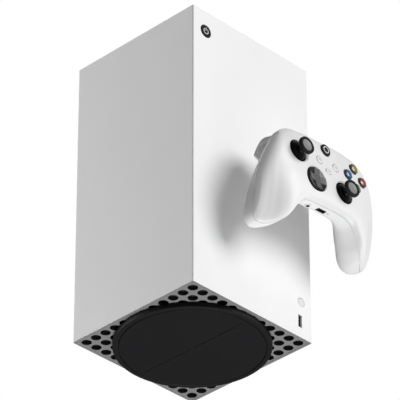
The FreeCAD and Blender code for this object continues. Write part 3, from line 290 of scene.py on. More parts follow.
def piece(name, bm, body, looks, replaced=(), sharp=32.0, matrix=TO_ROW):
    """Turns a mesh under construction into a shown piece that rides on a body."""
    bmesh.ops.recalc_face_normals(bm, faces=bm.faces)
    bm.transform(matrix)
    mesh = bpy.data.meshes.new(name)
    bm.to_mesh(mesh)
    bm.free()
    for look in looks:
        mesh.materials.append(look)
    mesh.shade_smooth()
    mesh.set_sharp_from_angle(angle=math.radians(sharp))
    made = bpy.data.objects.new(name, mesh)
    bpy.context.scene.collection.objects.link(made)
    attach(made, body)
    if replaced:
        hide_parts(*replaced)


def lathe(bm, profile, centre=Vector((0, 0, 0)), steps=96, shape=None, looks=None):
    """A profile of (radius, height) turned about the z axis.

    shape(radius, height, angle) may vary a radius, and looks holds a material index for each step.
    """
    rings = []
    for radius, height in profile:
        ring = []
        if radius < 1e-6:
            ring = [bm.verts.new(centre + Vector((0, 0, height)))]
        else:
            for k in range(steps):
                angle = 2 * math.pi * k / steps
                reach = shape(radius, height, angle) if shape else radius
                spot = Vector((reach * math.cos(angle), reach * math.sin(angle), height))
                ring.append(bm.verts.new(centre + spot))
        rings.append(ring)
    for index, (low, high) in enumerate(zip(rings, rings[1:])):
        for k in range(steps):
            after = (k + 1) % steps
            corners = [low[k % len(low)], low[after % len(low)], high[after % len(high)], high[k % len(high)]]
            corners = list(dict.fromkeys(corners))
            if len(corners) > 2:
                face = bm.faces.new(corners)
                face.material_index = looks[index] if looks else 0


def arc(radius, centre_r, centre_z, first, last, steps):
    """Points of a round stretch of a profile, from one angle to another in degrees."""
    points = []
    for k in range(steps + 1):
        angle = math.radians(first + (last - first) * k / steps)
        points.append((centre_r + radius * math.cos(angle), centre_z + radius * math.sin(angle)))
    return points


def ribbon(bm, points, width, low, high, closed=False):
    """A flat raised line of a given width along points in the x-y plane."""
    count = len(points)
    sections = []
    for k, point in enumerate(points):
        before = points[(k - 1) % count] if closed or k else point
        after = points[(k + 1) % count] if closed or k < count - 1 else point
        along = (after - before).normalized()
        side = Vector((-along.y, along.x, 0)) * width / 2
        sections.append([bm.verts.new(Vector((*(point + way * side).xy, level)))
                         for way, level in ((1, low), (1, high), (-1, high), (-1, low))])
    last = count if closed else count - 1
    for k in range(last):
        here, there = sections[k], sections[(k + 1) % count]
        for side in range(4):
            bm.faces.new((here[side], here[(side + 1) % 4], there[(side + 1) % 4], there[side]))
    if not closed:
        bm.faces.new(sections[0])
        bm.faces.new(sections[-1][::-1])


def bevelled_box(bm, low, high, radius):
    """A box with rounded edges."""
    low, high = Vector(low), Vector(high)
    made = bmesh.ops.create_cube(bm, size=1.0)["verts"]
    for vert in made:
        vert.co = Vector([low[k] + (vert.co[k] + 0.5) * (high[k] - low[k]) for k in range(3)])
    edges = list({edge for vert in made for edge in vert.link_edges})
    bmesh.ops.bevel(bm, geom=edges, offset=radius, segments=3, profile=0.5, affect="EDGES")


def combined(target, tools, operation):
    """Applies exact booleans to a mesh, one tool mesh after another."""
    for bm in tools:
        bmesh.ops.recalc_face_normals(bm, faces=bm.faces)
        mesh = bpy.data.meshes.new("tool")
        bm.to_mesh(mesh)
        bm.free()
        tool = bpy.data.objects.new("tool", mesh)
        holder = bpy.data.objects.new("holder", target)
        for thing in (tool, holder):
            bpy.context.scene.collection.objects.link(thing)
        step = holder.modifiers.new("step", "BOOLEAN")
        step.operation = operation
        step.solver = "EXACT"
        step.object = tool
        bpy.context.view_layer.update()
        found = holder.evaluated_get(bpy.context.evaluated_depsgraph_get())
        target = bpy.data.meshes.new_from_object(found)
        for thing in (tool, holder):
            bpy.data.objects.remove(thing)
    result = bmesh.new()
    result.from_mesh(target)
    return result


# ---- controller case ---------------------------------------------------------------------------

# Sections of the case at distances from its middle: lowest and highest y, seam height, rise over
# the seam, drop under it, the seam's slope, squareness at each end, and the drop's lean.
CASE_SECTIONS = [
    (0.0, -27.0, 40.5, -9.0, 9.5, 20.0, 0.00, 5.0, 4.6, -0.10),
    (12.0, -27.0, 41.0, -9.0, 9.5, 20.0, 0.00, 5.0, 4.4, -0.10),
    (24.0, -27.5, 41.5, -9.2, 9.5, 20.0, 0.01, 4.4, 3.6, -0.06),
    (33.0, -31.0, 41.5, -9.8, 9.6, 21.0, 0.02, 3.6, 3.0, 0.06),
    (41.0, -40.0, 41.0, -10.8, 10.0, 23.5, 0.04, 2.9, 2.9, 0.20),
    (49.0, -51.0, 38.0, -12.5, 10.8, 26.5, 0.08, 2.5, 2.7, 0.32),
    (57.0, -56.0, 31.0, -14.5, 11.3, 27.0, 0.16, 2.4, 2.5, 0.40),
    (64.0, -57.0, 19.0, -16.0, 10.9, 23.0, 0.25, 2.3, 2.4, 0.45),
    (70.0, -55.5, 6.0, -17.0, 9.4, 17.0, 0.30, 2.2, 2.3, 0.45),
    (74.5, -51.0, -8.0, -18.0, 7.0, 10.5, 0.31, 2.1, 2.2, 0.40),
    (76.2, -43.5, -17.0, -18.3, 3.6, 5.2, 0.31, 2.0, 2.0, 0.30),
    (76.6, -37.0, -24.0, -18.4, 1.2, 1.8, 0.31, 2.0, 2.0, 0.20),
]
CASE_END = CASE_SECTIONS[-1][0]
CASE_REACH = 76.15
CASE_WALL = 2.2
CASE_STATIONS = 128
CASE_SPANS = 56
ARC_SAMPLES = 360
UNDER_SQUARE = 2.6
SEAM_LIP = 0.45
SEAM_DEPTH = 0.8
SEAM_ROWS = (0, -1)


def monotone_slopes(places, heights):
    """Slopes of a curve through the table's values that never overshoots them."""
    steps = [(heights[k + 1] - heights[k]) / (places[k + 1] - places[k]) for k in range(len(places) - 1)]
    slopes = [0.0]
    for before, after in zip(steps, steps[1:]):
        slopes.append(2 * before * after / (before + after) if before * after > 0 else 0.0)
    return slopes + [steps[-1]]


PLACES = [row[0] for row in CASE_SECTIONS]
COLUMNS = [[row[k] for row in CASE_SECTIONS] for k in range(1, 10)]
SLOPES = [monotone_slopes(PLACES, column) for column in COLUMNS]


def section_at(x):
    """The section table's values at any distance from the middle."""
    x = min(abs(x), CASE_END)
    k = max(index for index in range(len(PLACES) - 1) if PLACES[index] <= x)
    span = PLACES[k + 1] - PLACES[k]
    u = (x - PLACES[k]) / span
    return [
        column[k] * (1 + 2 * u) * (1 - u) ** 2 + column[k + 1] * u * u * (3 - 2 * u)
        + span * slopes[k] * u * (1 - u) ** 2 - span * slopes[k + 1] * u * u * (1 - u)
        for column, slopes in zip(COLUMNS, SLOPES)
    ]


def case_point(values, angle, inset):
    """A point of a section: over the seam for angles up to half a turn, and under it past that."""
    low, high, seam, rise, drop, slope, low_square, high_square, lean = values
    low += inset
    high -= inset
    c = math.cos(angle)
    s = math.sin(angle)
    square = low_square if c < 0 else high_square
    reach = rise - inset if s >= 0 else (drop - inset) * (1 - lean * c)
    bend = square if s >= 0 else min(square, UNDER_SQUARE)
    y = (low + high) / 2 + (high - low) / 2 * math.copysign(abs(c) ** (2 / square), c)
    return Vector((0, y, seam + reach * math.copysign(abs(s) ** (2 / bend), s) + slope * y))


def case_arc(x, front, inset, count):
    """Evenly spaced points of one half of the section at x, from its high side to its low side."""
    values = section_at(x)
    dense = []
    for k in range(ARC_SAMPLES + 1):
        u = k / ARC_SAMPLES
        share = u ** 3 / (u ** 3 + (1 - u) ** 3)
        angle = math.pi * share if front else 2 * math.pi - math.pi * share
        dense.append(case_point(values, min(angle, 2 * math.pi - 1e-12), inset))
    lengths = [0.0]
    for before, after in zip(dense, dense[1:]):
        lengths.append(lengths[-1] + (after - before).length)
    points = []
    index = 0
    for k in range(count + 1):
        target = lengths[-1] * k / count
        while index < ARC_SAMPLES - 1 and lengths[index + 1] < target:
            index += 1
        span = lengths[index + 1] - lengths[index]
        points.append(dense[index].lerp(dense[index + 1], (target - lengths[index]) / span if span else 0.0))
    return points


def case_height(place):
    """Height of the case's surface over a point of its face."""
    points = case_arc(place.x, True, 0.0, 240)
    return min(points, key=lambda point: abs(point.y - place.y)).z


def beside_seam(end, neighbour, lip):
    """A point just inside an arc's end: a lip away from it, or a quarter of a step if it has no lip."""
    share = min(0.5, lip / (neighbour - end).length) if lip else 0.25
    return end.lerp(neighbour, share)


def pull_in_seam(outer, inner):
    """Draws the outer skin's two edges in, square to the seam, so that the halves meet in a groove."""
    last = len(outer) - 1
    pulls = []
    for k in SEAM_ROWS:
        for index, row in enumerate(outer):
            ahead = outer[min(index + 1, last)][k].co
            behind = outer[max(index - 1, 0)][k].co
            along = (ahead - behind).normalized()
            away = row[k].co - inner[index][k].co
            away = (away - away.dot(along) * along).normalized()
            pulls.append((row[k], away * SEAM_DEPTH))
    for vert, pull in pulls:
        vert.co -= pull


def case_half(front):
    """One half of the case as a closed wall, with a groove along the seam."""
    bm = bmesh.new()
    skins = []
    for inset, lip in ((0.0, SEAM_LIP), (CASE_WALL, 0.0)):
        shrink = (CASE_REACH - inset) / CASE_END
        rows = []
        for k in range(CASE_STATIONS + 1):
            reading = CASE_END * math.sin(math.pi * (k / CASE_STATIONS - 0.5))
            points = case_arc(reading, front, inset, CASE_SPANS)
            near = beside_seam(points[0], points[1], lip)
            far = beside_seam(points[-1], points[-2], lip)
            points = [points[0], near] + points[1:-1] + [far, points[-1]]
            rows.append([bm.verts.new(Vector((reading * shrink, point.y, point.z))) for point in points])
        for here, there in zip(rows, rows[1:]):
            for k in range(len(here) - 1):
                bm.faces.new((here[k], here[k + 1], there[k + 1], there[k]))
        bm.faces.new(rows[0])
        bm.faces.new(rows[-1])
        skins.append(rows)
    outer, inner = skins
    for k in SEAM_ROWS:
        for index in range(CASE_STATIONS):
            bm.faces.new((outer[index][k], outer[index + 1][k], inner[index + 1][k], inner[index][k]))
    for index in (0, -1):
        bm.faces.new((outer[index][0], outer[index][-1], inner[index][-1], inner[index][0]))
    bmesh.ops.recalc_face_normals(bm, faces=bm.faces)
    pull_in_seam(outer, inner)
    mesh = bpy.data.meshes.new("case_half")
    bm.to_mesh(mesh)
    bm.free()
    return mesh


# Depth that the tools of the face's openings reach down to, and how far their flares go past the face.
TOOL_FLOOR = -14.0
TOOL_FLARE = 12.0


def round_tool(place, radius, chamfer):
    """A round hole's tool, flared where it meets the surface."""
    bm = bmesh.new()
    flare = case_height(place) - chamfer
    lathe(bm, [(0, TOOL_FLOOR), (radius, TOOL_FLOOR), (radius, flare),
               (radius + TOOL_FLARE, flare + TOOL_FLARE), (0, flare + TOOL_FLARE)],
          Vector((place.x, place.y, 0)))
    return bm


def block_tool(low, high, radius=0.6):
    """A box-shaped opening's tool, with rounded edges."""
    bm = bmesh.new()
    bevelled_box(bm, low, high, radius)
    return bm


def mirrored_tools(low, high):
    """The same box-shaped tool on both sides of the middle, the left one first."""
    return [block_tool((-high[0], *low[1:]), (-low[0], *high[1:])), block_tool(low, high)]


def bumper_tools():
    """Openings for the two bumpers, which both halves of the case share."""
    return mirrored_tools((24.0, 25.5, -16.7), (57.5, 56, -4.7))


def bridge_tool():
    """The opening for the bridge between the bumpers."""
    return block_tool((-23.95, 29.85, -16.35), (23.95, 60, -5.05))


def face_button_places():
    """Centres of the four face buttons, round the middle of their cluster."""
    x, y, z = CLUSTER
    return {
        "bottom": Vector((x, y - CLUSTER_STEP, 0)), "right": Vector((x + CLUSTER_STEP, y, 0)),
        "left": Vector((x - CLUSTER_STEP, y, 0)), "top": Vector((x, y + CLUSTER_STEP, 0)),
    }


def front_case():
    """Front half of the case, with flared openings for every control."""
    holes = [(LEFT_STICK, STICK_WELL, 0.9), (RIGHT_STICK, STICK_WELL, 0.9), (PAD_CENTRE, PAD_WELL, 0.7)]
    holes += [(place, DOME_RADIUS + BUTTON_GAP, 0.3) for place in face_button_places().values()]
    holes += [(place, MENU_RADIUS + BUTTON_GAP, 0.25) for place in (VIEW, MENU)]
    holes += [(GUIDE, GUIDE_RADIUS + BUTTON_GAP, 0.25)]
    tools = [round_tool(place, radius, chamfer) for place, radius, chamfer in holes]
    tools.append(pill(SHARE, SHARE_HALF, SHARE_RADIUS + BUTTON_GAP, TOOL_FLOOR, 6))
    tools += bumper_tools() + [bridge_tool()]
    bm = combined(case_half(True), tools, "DIFFERENCE")
    piece("front_case", bm, "controller", [LOOKS["controller_white"]], ["front_shell"])


def rear_case():
    """Back half of the case, with its openings and the grips' fine texture."""
    tools = bumper_tools()
    tools += mirrored_tools((33.5, 25.5, -50.7), (55.1, 65, -16.0))
    tools += mirrored_tools((33.5, 19.6, -50.7), (55.1, 40, -30.0))
    battery_opening = block_tool((-28, -13, -40), (28, 27, -20))
    port_opening = block_tool((-5.6, -34, -17.3), (5.6, -22, -12.7), 0.4)
    tools += [bridge_tool(), battery_opening, port_opening]
    across = Matrix.Rotation(math.radians(-90), 4, "X")
    headset_hole, small_hole = (-16.1, -16.6, 3.1), (9.2, -15.0, 0.9)
    for x, z, radius in (headset_hole, small_hole):
        bm = bmesh.new()
        lathe(bm, [(0, -6), (radius, -6), (radius, 6), (0, 6)], steps=48)
        bm.transform(Matrix.Translation((x, -28, z)) @ across)
        tools.append(bm)
    bm = combined(case_half(False), tools, "DIFFERENCE")
    piece("rear_case", bm, "controller", [GRIP], ["rear_shell"])


# ---- triggers ----------------------------------------------------------------------------------

# The blade's pivot and faces are in y and z. The faces run from the bumper down to the lip, at the
# blade's inner end, its middle and its outer end.
TRIGGER_PIVOT = Vector((22.0, -17.0))
TRIGGER_ENDS = (34.0, 54.6)
TRIGGER_FACES = [
    [(41.0, -17.6), (41.4, -24.0), (40.6, -31.0), (37.4, -37.4), (32.0, -41.6), (24.6, -44.2)],
    [(39.2, -17.6), (40.0, -23.6), (39.2, -30.2), (36.0, -36.2), (30.8, -40.6), (24.2, -43.4)],
    [(33.4, -17.6), (35.4, -22.6), (35.2, -28.2), (32.6, -32.4), (29.0, -36.0), (23.8, -40.0)],
]
TRIGGER_CHEEK = [(19.4, -17.0), (20.4, -15.0), (22.4, -14.4), (24.6, -15.4), (26.6, -17.8), (33.0, -17.8),
                 (34.0, -24.0), (32.0, -30.0), (30.0, -31.0), (31.0, -24.0), (28.0, -20.4), (20.2, -19.2)]
CHEEK_WIDTH = 1.6
HALF_SKIN = 1.3
BLADE_POINTS = 40
BLADE_STATIONS = 28
RIM_STATIONS = 5
WALL_POINTS = 20
WALL_WIDTH = 1.5
WALL_INSET = 1.2


def smooth_row(points, count):
    """Points along a smooth curve through the given points."""
    row = []
    spans = len(points) - 1
    for k in range(count + 1):
        place = spans * k / count
        index = min(int(place), spans - 1)
        u = place - index
        a, b, c, d = (Vector(points[min(max(index + step, 0), spans)]) for step in (-1, 0, 1, 2))
        row.append(0.5 * (2 * b + (c - a) * u + (2 * a - 5 * b + 4 * c - d) * u ** 2
                          + (3 * b - a - 3 * c + d) * u ** 3))
    return row


def trigger_row(share, count):
    """The blade's face at a share of its width, from the bumper down to the lip."""
    first, middle, last = TRIGGER_FACES
    points = [
        Vector(a) * (1 - share) * (1 - 2 * share) + Vector(b) * 4 * share * (1 - share)
        + Vector(c) * share * (2 * share - 1) for a, b, c in zip(first, middle, last)
    ]
    return smooth_row(points, count)


def plate(bm, outline, low, high):
    """A flat plate between two x planes, with an outline in y and z."""
    sheets = [[bm.verts.new(Vector((x, *point))) for point in outline] for x in (low, high)]
    for k in range(len(outline)):
        after = (k + 1) % len(outline)
        bm.faces.new((sheets[0][k], sheets[0][after], sheets[1][after], sheets[1][k]))
    bm.faces.new(sheets[0])
    bm.faces.new(sheets[1][::-1])


def along_and_out(row, index):
    """Unit vectors along a row of the blade's face, and square to it away from the pivot."""
    along = (row[min(index + 1, len(row) - 1)] - row[max(index - 1, 0)]).normalized()
    out = Vector((-along.y, along.x))
    if out.dot(row[index] - TRIGGER_PIVOT) < 0:
        out = -out
    return along, out


def trigger_wall(share):
    """Outline of the blade's side wall: just under its skin, and back to the case's opening."""
    row = trigger_row(share, WALL_POINTS)
    outline = [point - along_and_out(row, k)[1] * WALL_INSET for k, point in enumerate(row)]
    lip = outline[-1]
    outline[0].y -= 0.6
    return outline + [Vector((lip.x + 0.2, lip.y + 1.0)), Vector((28.8, -31.6)), Vector((29.2, -26.0)),
                      Vector((28.0, -18.6))]


def blade_outline(share, thick):
    """Outline of the blade across its thickness: down its outer face and back up its inner one."""
    row = trigger_row(share, BLADE_POINTS)
    inset = HALF_SKIN - thick
    outline = []
    for way in (1, -1):
        for at in range(BLADE_POINTS + 1)[::way]:
            along, out = along_and_out(row, at)
            rim = min(1.0, at / 2.0, (BLADE_POINTS - at) / 2.0)
            bulge = thick * math.sqrt(max(0.02, 1 - (1 - rim) ** 2))
            spot = row[at] - out * HALF_SKIN + out * way * bulge
            if at < 2:
                spot += along * inset * 0.5
            if at > BLADE_POINTS - 2:
                spot -= along * inset
            outline.append(spot)
    return outline


def trigger_blade(side, word):
    """Curved trigger with rounded rims, its side walls, and the two cheeks it swings on."""
    inner, outer = TRIGGER_ENDS
    rings = []
    bm = bmesh.new()
    for k in range(-RIM_STATIONS, BLADE_STATIONS + RIM_STATIONS + 1):
        share = min(max(k, 0), BLADE_STATIONS) / BLADE_STATIONS
        turn = max(0, -k, k - BLADE_STATIONS) / RIM_STATIONS * math.pi / 2
        reach = HALF_SKIN * math.sin(turn) * (1 if k > BLADE_STATIONS else -1)
        thick = max(0.08, HALF_SKIN * math.cos(turn))
        across = inner + HALF_SKIN + (outer - inner - 2 * HALF_SKIN) * share + reach
        rings.append([bm.verts.new(Vector((side * across, *spot))) for spot in blade_outline(share, thick)])
    total = len(rings[0])
    for here, there in zip(rings, rings[1:]):
        for k in range(total):
            bm.faces.new((here[k], here[(k + 1) % total], there[(k + 1) % total], there[k]))
    bm.faces.new(rings[0])
    bm.faces.new(rings[-1])
    for near in (inner + 2.6, outer - 6.0):
        plate(bm, TRIGGER_CHEEK, side * near, side * (near + CHEEK_WIDTH))
    for share, near in ((0.0, inner + 0.5), (1.0, outer - 0.5 - WALL_WIDTH)):
        plate(bm, trigger_wall(share), side * near, side * (near + WALL_WIDTH))
    piece(f"{word}_trigger_blade", bm, f"{word}_trigger", [GRIP], [f"{word}_trigger"])


# ---- controls ----------------------------------------------------------------------------------

PILL_STEPS = 64
GLYPH_WIDTH = 0.28
SOCKET_FACE = -27.2
FLANGE_TOP, FLANGE_FOOT, FLANGE_WIDTH = -3.1, -4.3, 0.8
STICK_DOME = 11.2
STICK_DOME_INSIDE = 10.2
STICK_FOOT = (10.0, 1.9)
KNURLS = 72
KNURL_DEPTH = 0.28
PAD_OUTER = 11.6
PAD_SIDES = 16


def pill(place, half, radius, low, high, rounding=0.0):
    """A long round prism, with its upper edge rounded where that is asked for."""
    bm = bmesh.new()
    rings = []
    levels = [(low, 0.0), (high - rounding, 0.0)]
    for turn in (math.radians(30), math.radians(60), math.radians(90)) if rounding else ():
        levels.append((high - rounding * (1 - math.sin(turn)), rounding * (1 - math.cos(turn))))
    for level, inset in levels:
        ring = []
        for k in range(PILL_STEPS):
            angle = 2 * math.pi * k / PILL_STEPS
            side = half if math.cos(angle) >= 0 else -half
            ring.append(bm.verts.new(Vector((place.x + side + (radius - inset) * math.cos(angle),
                                             place.y + (radius - inset) * math.sin(angle), level))))
        rings.append(ring)
    for here, there in zip(rings, rings[1:]):
        for k in range(PILL_STEPS):
            after = (k + 1) % PILL_STEPS
            bm.faces.new((here[k], here[after], there[after], there[k]))
    bm.faces.new(rings[0][::-1])
    bm.faces.new(rings[-1])
    return bm


def dome_profile(radius, angles):
    """Points of a dome's profile, at angles from its axis in degrees."""
    return [(radius * math.sin(math.radians(a)), radius * math.cos(math.radians(a))) for a in angles]


def knurled(radius, height, angle):
    """Cuts fine notches into the widest part of the stick's rim."""
    if not 14.7 < height < 17.0 or radius <= 8.4:
        return radius
    return radius - KNURL_DEPTH * max(0.0, math.sin(KNURLS * angle))


def stick_cap(side, pivot):
    """Thumb stick: gloss dome and neck, knurled rim, and a grey dished top."""
    bm = bmesh.new()
    dome = [STICK_FOOT] + dome_profile(STICK_DOME, range(80, 28, -3))
    neck = [(5.1, 10.2), (4.9, 11.4), (5.1, 12.4), (5.8, 13.1), (6.8, 13.6), (7.8, 14.0)]
    rim = [(8.2, 14.3), (8.45, 14.8), (8.45, 16.9), (8.3, 17.4)] + arc(0.7, 7.6, 17.3, 10, 150, 6)
    rim += [(6.6, 17.45), (5.7, 17.15)]
    top = [(5.4 * k / 8, 16.45 + 0.55 * (k / 8) ** 2) for k in range(8, -1, -1)]
    profile = dome + neck + rim + top
    looks = [0] * (len(dome) + len(neck) - 1) + [1] * len(rim) + [2] * len(top)
    lathe(bm, profile, pivot, 4 * KNURLS, knurled, looks)
    under = [STICK_FOOT] + dome_profile(STICK_DOME_INSIDE, range(78, 18, -8)) + [(1.8, 9.8), (0, 9.8)]
    lathe(bm, under, pivot, 4 * KNURLS)
    bmesh.ops.remove_doubles(bm, verts=bm.verts, dist=1e-4)
    looks = [LOOKS["dome_black"], LOOKS["black_rubber"], LOOKS["stick_grey"]]
    piece(f"{side}_thumb_stick", bm, f"{side}_stick_cap", looks, [f"{side}_stick_cap"])


def faceted(radius, height, angle):
    """Pulls the circles inside the pad's rim in to polygons."""
    if radius >= PAD_OUTER - 1.0:
        return radius
    step = 2 * math.pi / PAD_SIDES
    off = (angle + step / 2) % step - step / 2
    return radius * math.cos(step / 2) / math.cos(min(abs(off), step / 2))


def pad_face():
    """Directional pad: a round faceted dish with a raised cross whose arms dip to the middle."""
    bm = bmesh.new()
    face = -PAD_CENTRE.z
    outer = PAD_OUTER
    lathe(bm, [(0, face - 1.3), (outer - 0.3, face - 1.3), (outer, face - 1.0), (outer, face + 1.0),
               (outer - 0.25, face + 1.45), (outer - 0.7, face + 1.65), (outer - 1.3, face + 1.5),
               (5.2, face - 0.3), (0, face - 0.4)], PAD_CENTRE, 6 * PAD_SIDES, faceted)
    raised_cross(bm, face)
    looks = [LOOKS["black_gloss"], LOOKS["pad_gloss"]]
    piece("directional_pad", bm, "dpad_disc", looks, ["dpad_disc"], sharp=8.0)


def raised_cross(bm, face):
    """A cross with sloping flanks, whose arms rise from the middle to their ends."""
    half, foot, reach, foot_reach = 3.35, 3.95, 10.2, 10.75
    corners, ends, feet, lows, foot_corners, low_corners = [], [], [], [], [], []

    def vert(turn, x, y, level):
        return bm.verts.new(PAD_CENTRE + turn @ Vector((x, y, face + level)))

    for k in range(4):
        turn = Matrix.Rotation(math.pi / 2 * k, 3, "Z")
        corners.append(vert(turn, half, half, 0.9))
        foot_corners.append(vert(turn, foot, foot, -0.1))
        low_corners.append(vert(turn, foot, foot, -0.8))
        ends.append([vert(turn, reach, way * half, 2.2) for way in (-1, 1)])
        feet.append([vert(turn, foot_reach, way * foot, 1.4) for way in (-1, 1)])
        lows.append([vert(turn, foot_reach, way * foot, -0.8) for way in (-1, 1)])
    faces = [corners]
    for k in range(4):
        before = k - 1
        faces += [
            (corners[before], ends[k][0], ends[k][1], corners[k]),
            (ends[k][0], feet[k][0], feet[k][1], ends[k][1]),
            (feet[k][0], lows[k][0], lows[k][1], feet[k][1]),
            (ends[k][1], feet[k][1], foot_corners[k], corners[k]),
            (corners[before], foot_corners[before], feet[k][0], ends[k][0]),
            (feet[k][1], lows[k][1], low_corners[k], foot_corners[k]),
            (foot_corners[before], low_corners[before], lows[k][0], feet[k][0]),
        ]
    faces.append([corner for k in range(4) for corner in (*lows[k], low_corners[k])])
    made = [bm.faces.new(face_corners) for face_corners in faces]
    for face_made in made:
        face_made.material_index = 1
    bmesh.ops.recalc_face_normals(bm, faces=made)
    edges = list({edge for face_made in made for edge in face_made.edges})
    bmesh.ops.bevel(bm, geom=edges, offset=0.14, segments=2, profile=0.5, affect="EDGES")


def dome_button(name, place, radius, top, crown, look, body):
    """A crowned round button with its skirt and flange. Its core is marked for the look.

    Its body and the node that it replaces share a name. The surface's height under it is returned.
    """
    level = case_height(place)
    bm = bmesh.new()
    curve = [(radius * math.sin(math.radians(a)), top - crown * (1 - math.cos(math.radians(a))))
             for a in range(0, 61, 6)]
    scale = radius / curve[-1][0] * 0.94
    curve = [(r * scale, z) for r, z in curve]
    edge = curve[-1][1]
    flange = radius + FLANGE_WIDTH
    profile = curve + [(radius * 0.985, edge - 0.2), (radius, edge - 0.55), (radius, FLANGE_TOP),
                       (flange, FLANGE_TOP), (flange, FLANGE_FOOT), (radius - 0.6, FLANGE_FOOT),
                       (radius - 0.6, -4.7), (0, -4.7)]
    lathe(bm, profile, Vector((place.x, place.y, level)), 72)
    core = bm.verts.layers.float.new("core")
    for vert in bm.verts:
        away = (vert.co.xy - place.xy).length / radius
        vert[core] = max(0.0, min(1.0, (0.92 - away) / 0.3)) if vert.co.z > level else 0.0
    piece(name, bm, body, [LOOKS[look]], [body])
    return level


def circle(place, radius, first=0, last=360, steps=64):
    """Points round a circle. The angles are in degrees."""
    points = []
    count = steps if last - first == 360 else steps + 1
    for k in range(count):
        angle = math.radians(first + (last - first) * k / steps)
        points.append(Vector((place.x + radius * math.cos(angle), place.y + radius * math.sin(angle), 0)))
    return points


def face_buttons():
    """The four coloured buttons, as plain domes without letters."""
    colours = {"bottom": "button_green", "right": "button_red", "left": "button_blue", "top": "button_yellow"}
    for side, place in face_button_places().items():
        dome_button(f"{side}_button_dome", place, DOME_RADIUS, 2.6, 2.6, colours[side], f"face_button_{side}")


def line(bm, place, points, width, low, high, closed=False):
    """A raised line through points that are given from a place in x and y."""
    ribbon(bm, [place + Vector((x, y, 0)) for x, y in points], width, low, high, closed)


def view_and_menu_buttons():
    """Two small white buttons, with plain marks: two overlapping frames and three bars."""
    for word, place in (("view", VIEW), ("menu", MENU)):
        body = f"{word}_button"
        level = dome_button(f"{word}_button_face", place, MENU_RADIUS, 0.6, 0.5, "gloss_white", body) + 0.6
        bm = bmesh.new()
        if word == "menu":
            for row in (-0.9, 0.0, 0.9):
                line(bm, place, [(-1.4, row), (1.4, row)], 0.32, level - 0.5, level + 0.02)
        else:
            for shift, high in ((-0.45, level + 0.02), (0.45, level + 0.02 + 0.01)):
                corners = [(-0.9, -0.7), (0.9, -0.7), (0.9, 0.7), (-0.9, 0.7)]
                points = [(x + shift, y + shift) for x, y in corners]
                line(bm, place, points, GLYPH_WIDTH, level - 0.5, high, True)
        piece(f"{word}_button_mark", bm, body, [GLYPH])


def share_button():
    """The long small button, with a plain mark: a tray and an arrow that leaves it."""
    level = case_height(SHARE)
    skirt = pill(SHARE, SHARE_HALF, SHARE_RADIUS + FLANGE_WIDTH, level + FLANGE_FOOT, level + FLANGE_TOP)
    mesh = bpy.data.meshes.new("share")
    bm = pill(SHARE, SHARE_HALF, SHARE_RADIUS, level - 3.7, level + 0.6, 0.35)
    bmesh.ops.recalc_face_normals(bm, faces=bm.faces)
    bm.to_mesh(mesh)
    bm.free()
    bm = combined(mesh, [skirt], "UNION")
    piece("share_button_face", bm, "share_button", [LOOKS["gloss_white"]], ["share_button"])
    tray = [(-1.3, 0.1), (-1.3, -1.0), (1.3, -1.0), (1.3, 0.1)]
    stem = [(0, -0.5), (0, 1.1)]
    head = [(-0.7, 0.5), (0.0, 1.2), (0.7, 0.5)]
    bm = bmesh.new()
    for points, high in ((tray, 0.62), (stem, 0.63), (head, 0.64)):
        line(bm, SHARE, points, GLYPH_WIDTH, level + 0.1, level + high)
    piece("share_button_mark", bm, "share_button", [GLYPH])


def guide_button():
    """The round black button above the middle, with a plain ring."""
    level = dome_button("guide_button_face", GUIDE, GUIDE_RADIUS, 1.4, 0.35, "black_gloss", "guide_button")
    bm = bmesh.new()
    ribbon(bm, circle(GUIDE, 3.2), 0.8, level + 0.8, level + 1.4, True)
    piece("guide_button_mark", bm, "guide_button", [MARK])


def headset_socket():
    """Round headset socket: a pale rim round a deep dark bore."""
    low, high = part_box("headset_jack")
    centre = TO_ROW.inverted() @ ((low + high) / 2)
    bm = bmesh.new()
    lathe(bm, [(0, -7.0), (1.75, -7.0), (1.75, 0.0), (1.95, 0.22), (2.6, 0.22), (2.85, 0.0), (2.85, -8.0),
               (0, -8.0)], steps=64, looks=[1, 1, 0, 0, 0, 0, 0])
    bm.transform(Matrix.Translation((centre.x, SOCKET_FACE, centre.z)) @ Matrix.Rotation(math.pi / 2, 4, "X"))
    piece("headset_socket", bm, "controller", [LOOKS["controller_white"], LOOKS["black_matte"]],
          ["headset_jack"])


# ---- console details ---------------------------------------------------------------------------

def base_shade_sheet():
    """Black tray above the perforated base, which hides the works. It is painted shade: a dark sheet for the shade
    inside the tower seen through the holes.
    """
    low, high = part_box("bottom_grille")
    inset, gap, thickness = 0.001, 0.0006, 0.001
    bm = bmesh.new()
    bevelled_box(bm, (low.x + inset, low.y + inset, high.z + gap),
                 (high.x - inset, high.y - inset, high.z + gap + thickness), 0.0003)
    piece("base_shade_sheet", bm, "console", [LOOKS["foot_black"]], matrix=Matrix.Identity(4))


def power_mark():
    """A generic power mark on the power button: a broken ring and a bar."""
    low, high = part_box("power_button")
    centre = (low + high) / 2
    radius, width, height = 0.0028, 0.0007, 0.00012
    bm = bmesh.new()
    ribbon(bm, circle(Vector(), radius, 125, 415, 40), width, 0, height)
    ribbon(bm, [Vector((0, 0.0006, 0)), Vector((0, 0.0038, 0))], width, 0, height)
    turn = Matrix.Translation((centre.x, low.y + 0.00008, centre.z)) @ Matrix.Rotation(math.pi / 2, 4, "X")
    piece("power_button_mark", bm, "power_button", [MARK], matrix=turn)


# Nodes whose look isn't their slot's own.
NODE_LOOKS = {
    # Painted shade: the base and the shell's underside take the painted shade looks.
    "bottom_grille": "base_painted_shade", "outer_shell": "shell_painted_under_shade", "foot_disc": "foot_black",
    # Painted shade: the steel USB socket takes the black rubber look, for the shade in the port.
    "foot_pad": "foot_black", "front_usb_socket": "foot_black",
}


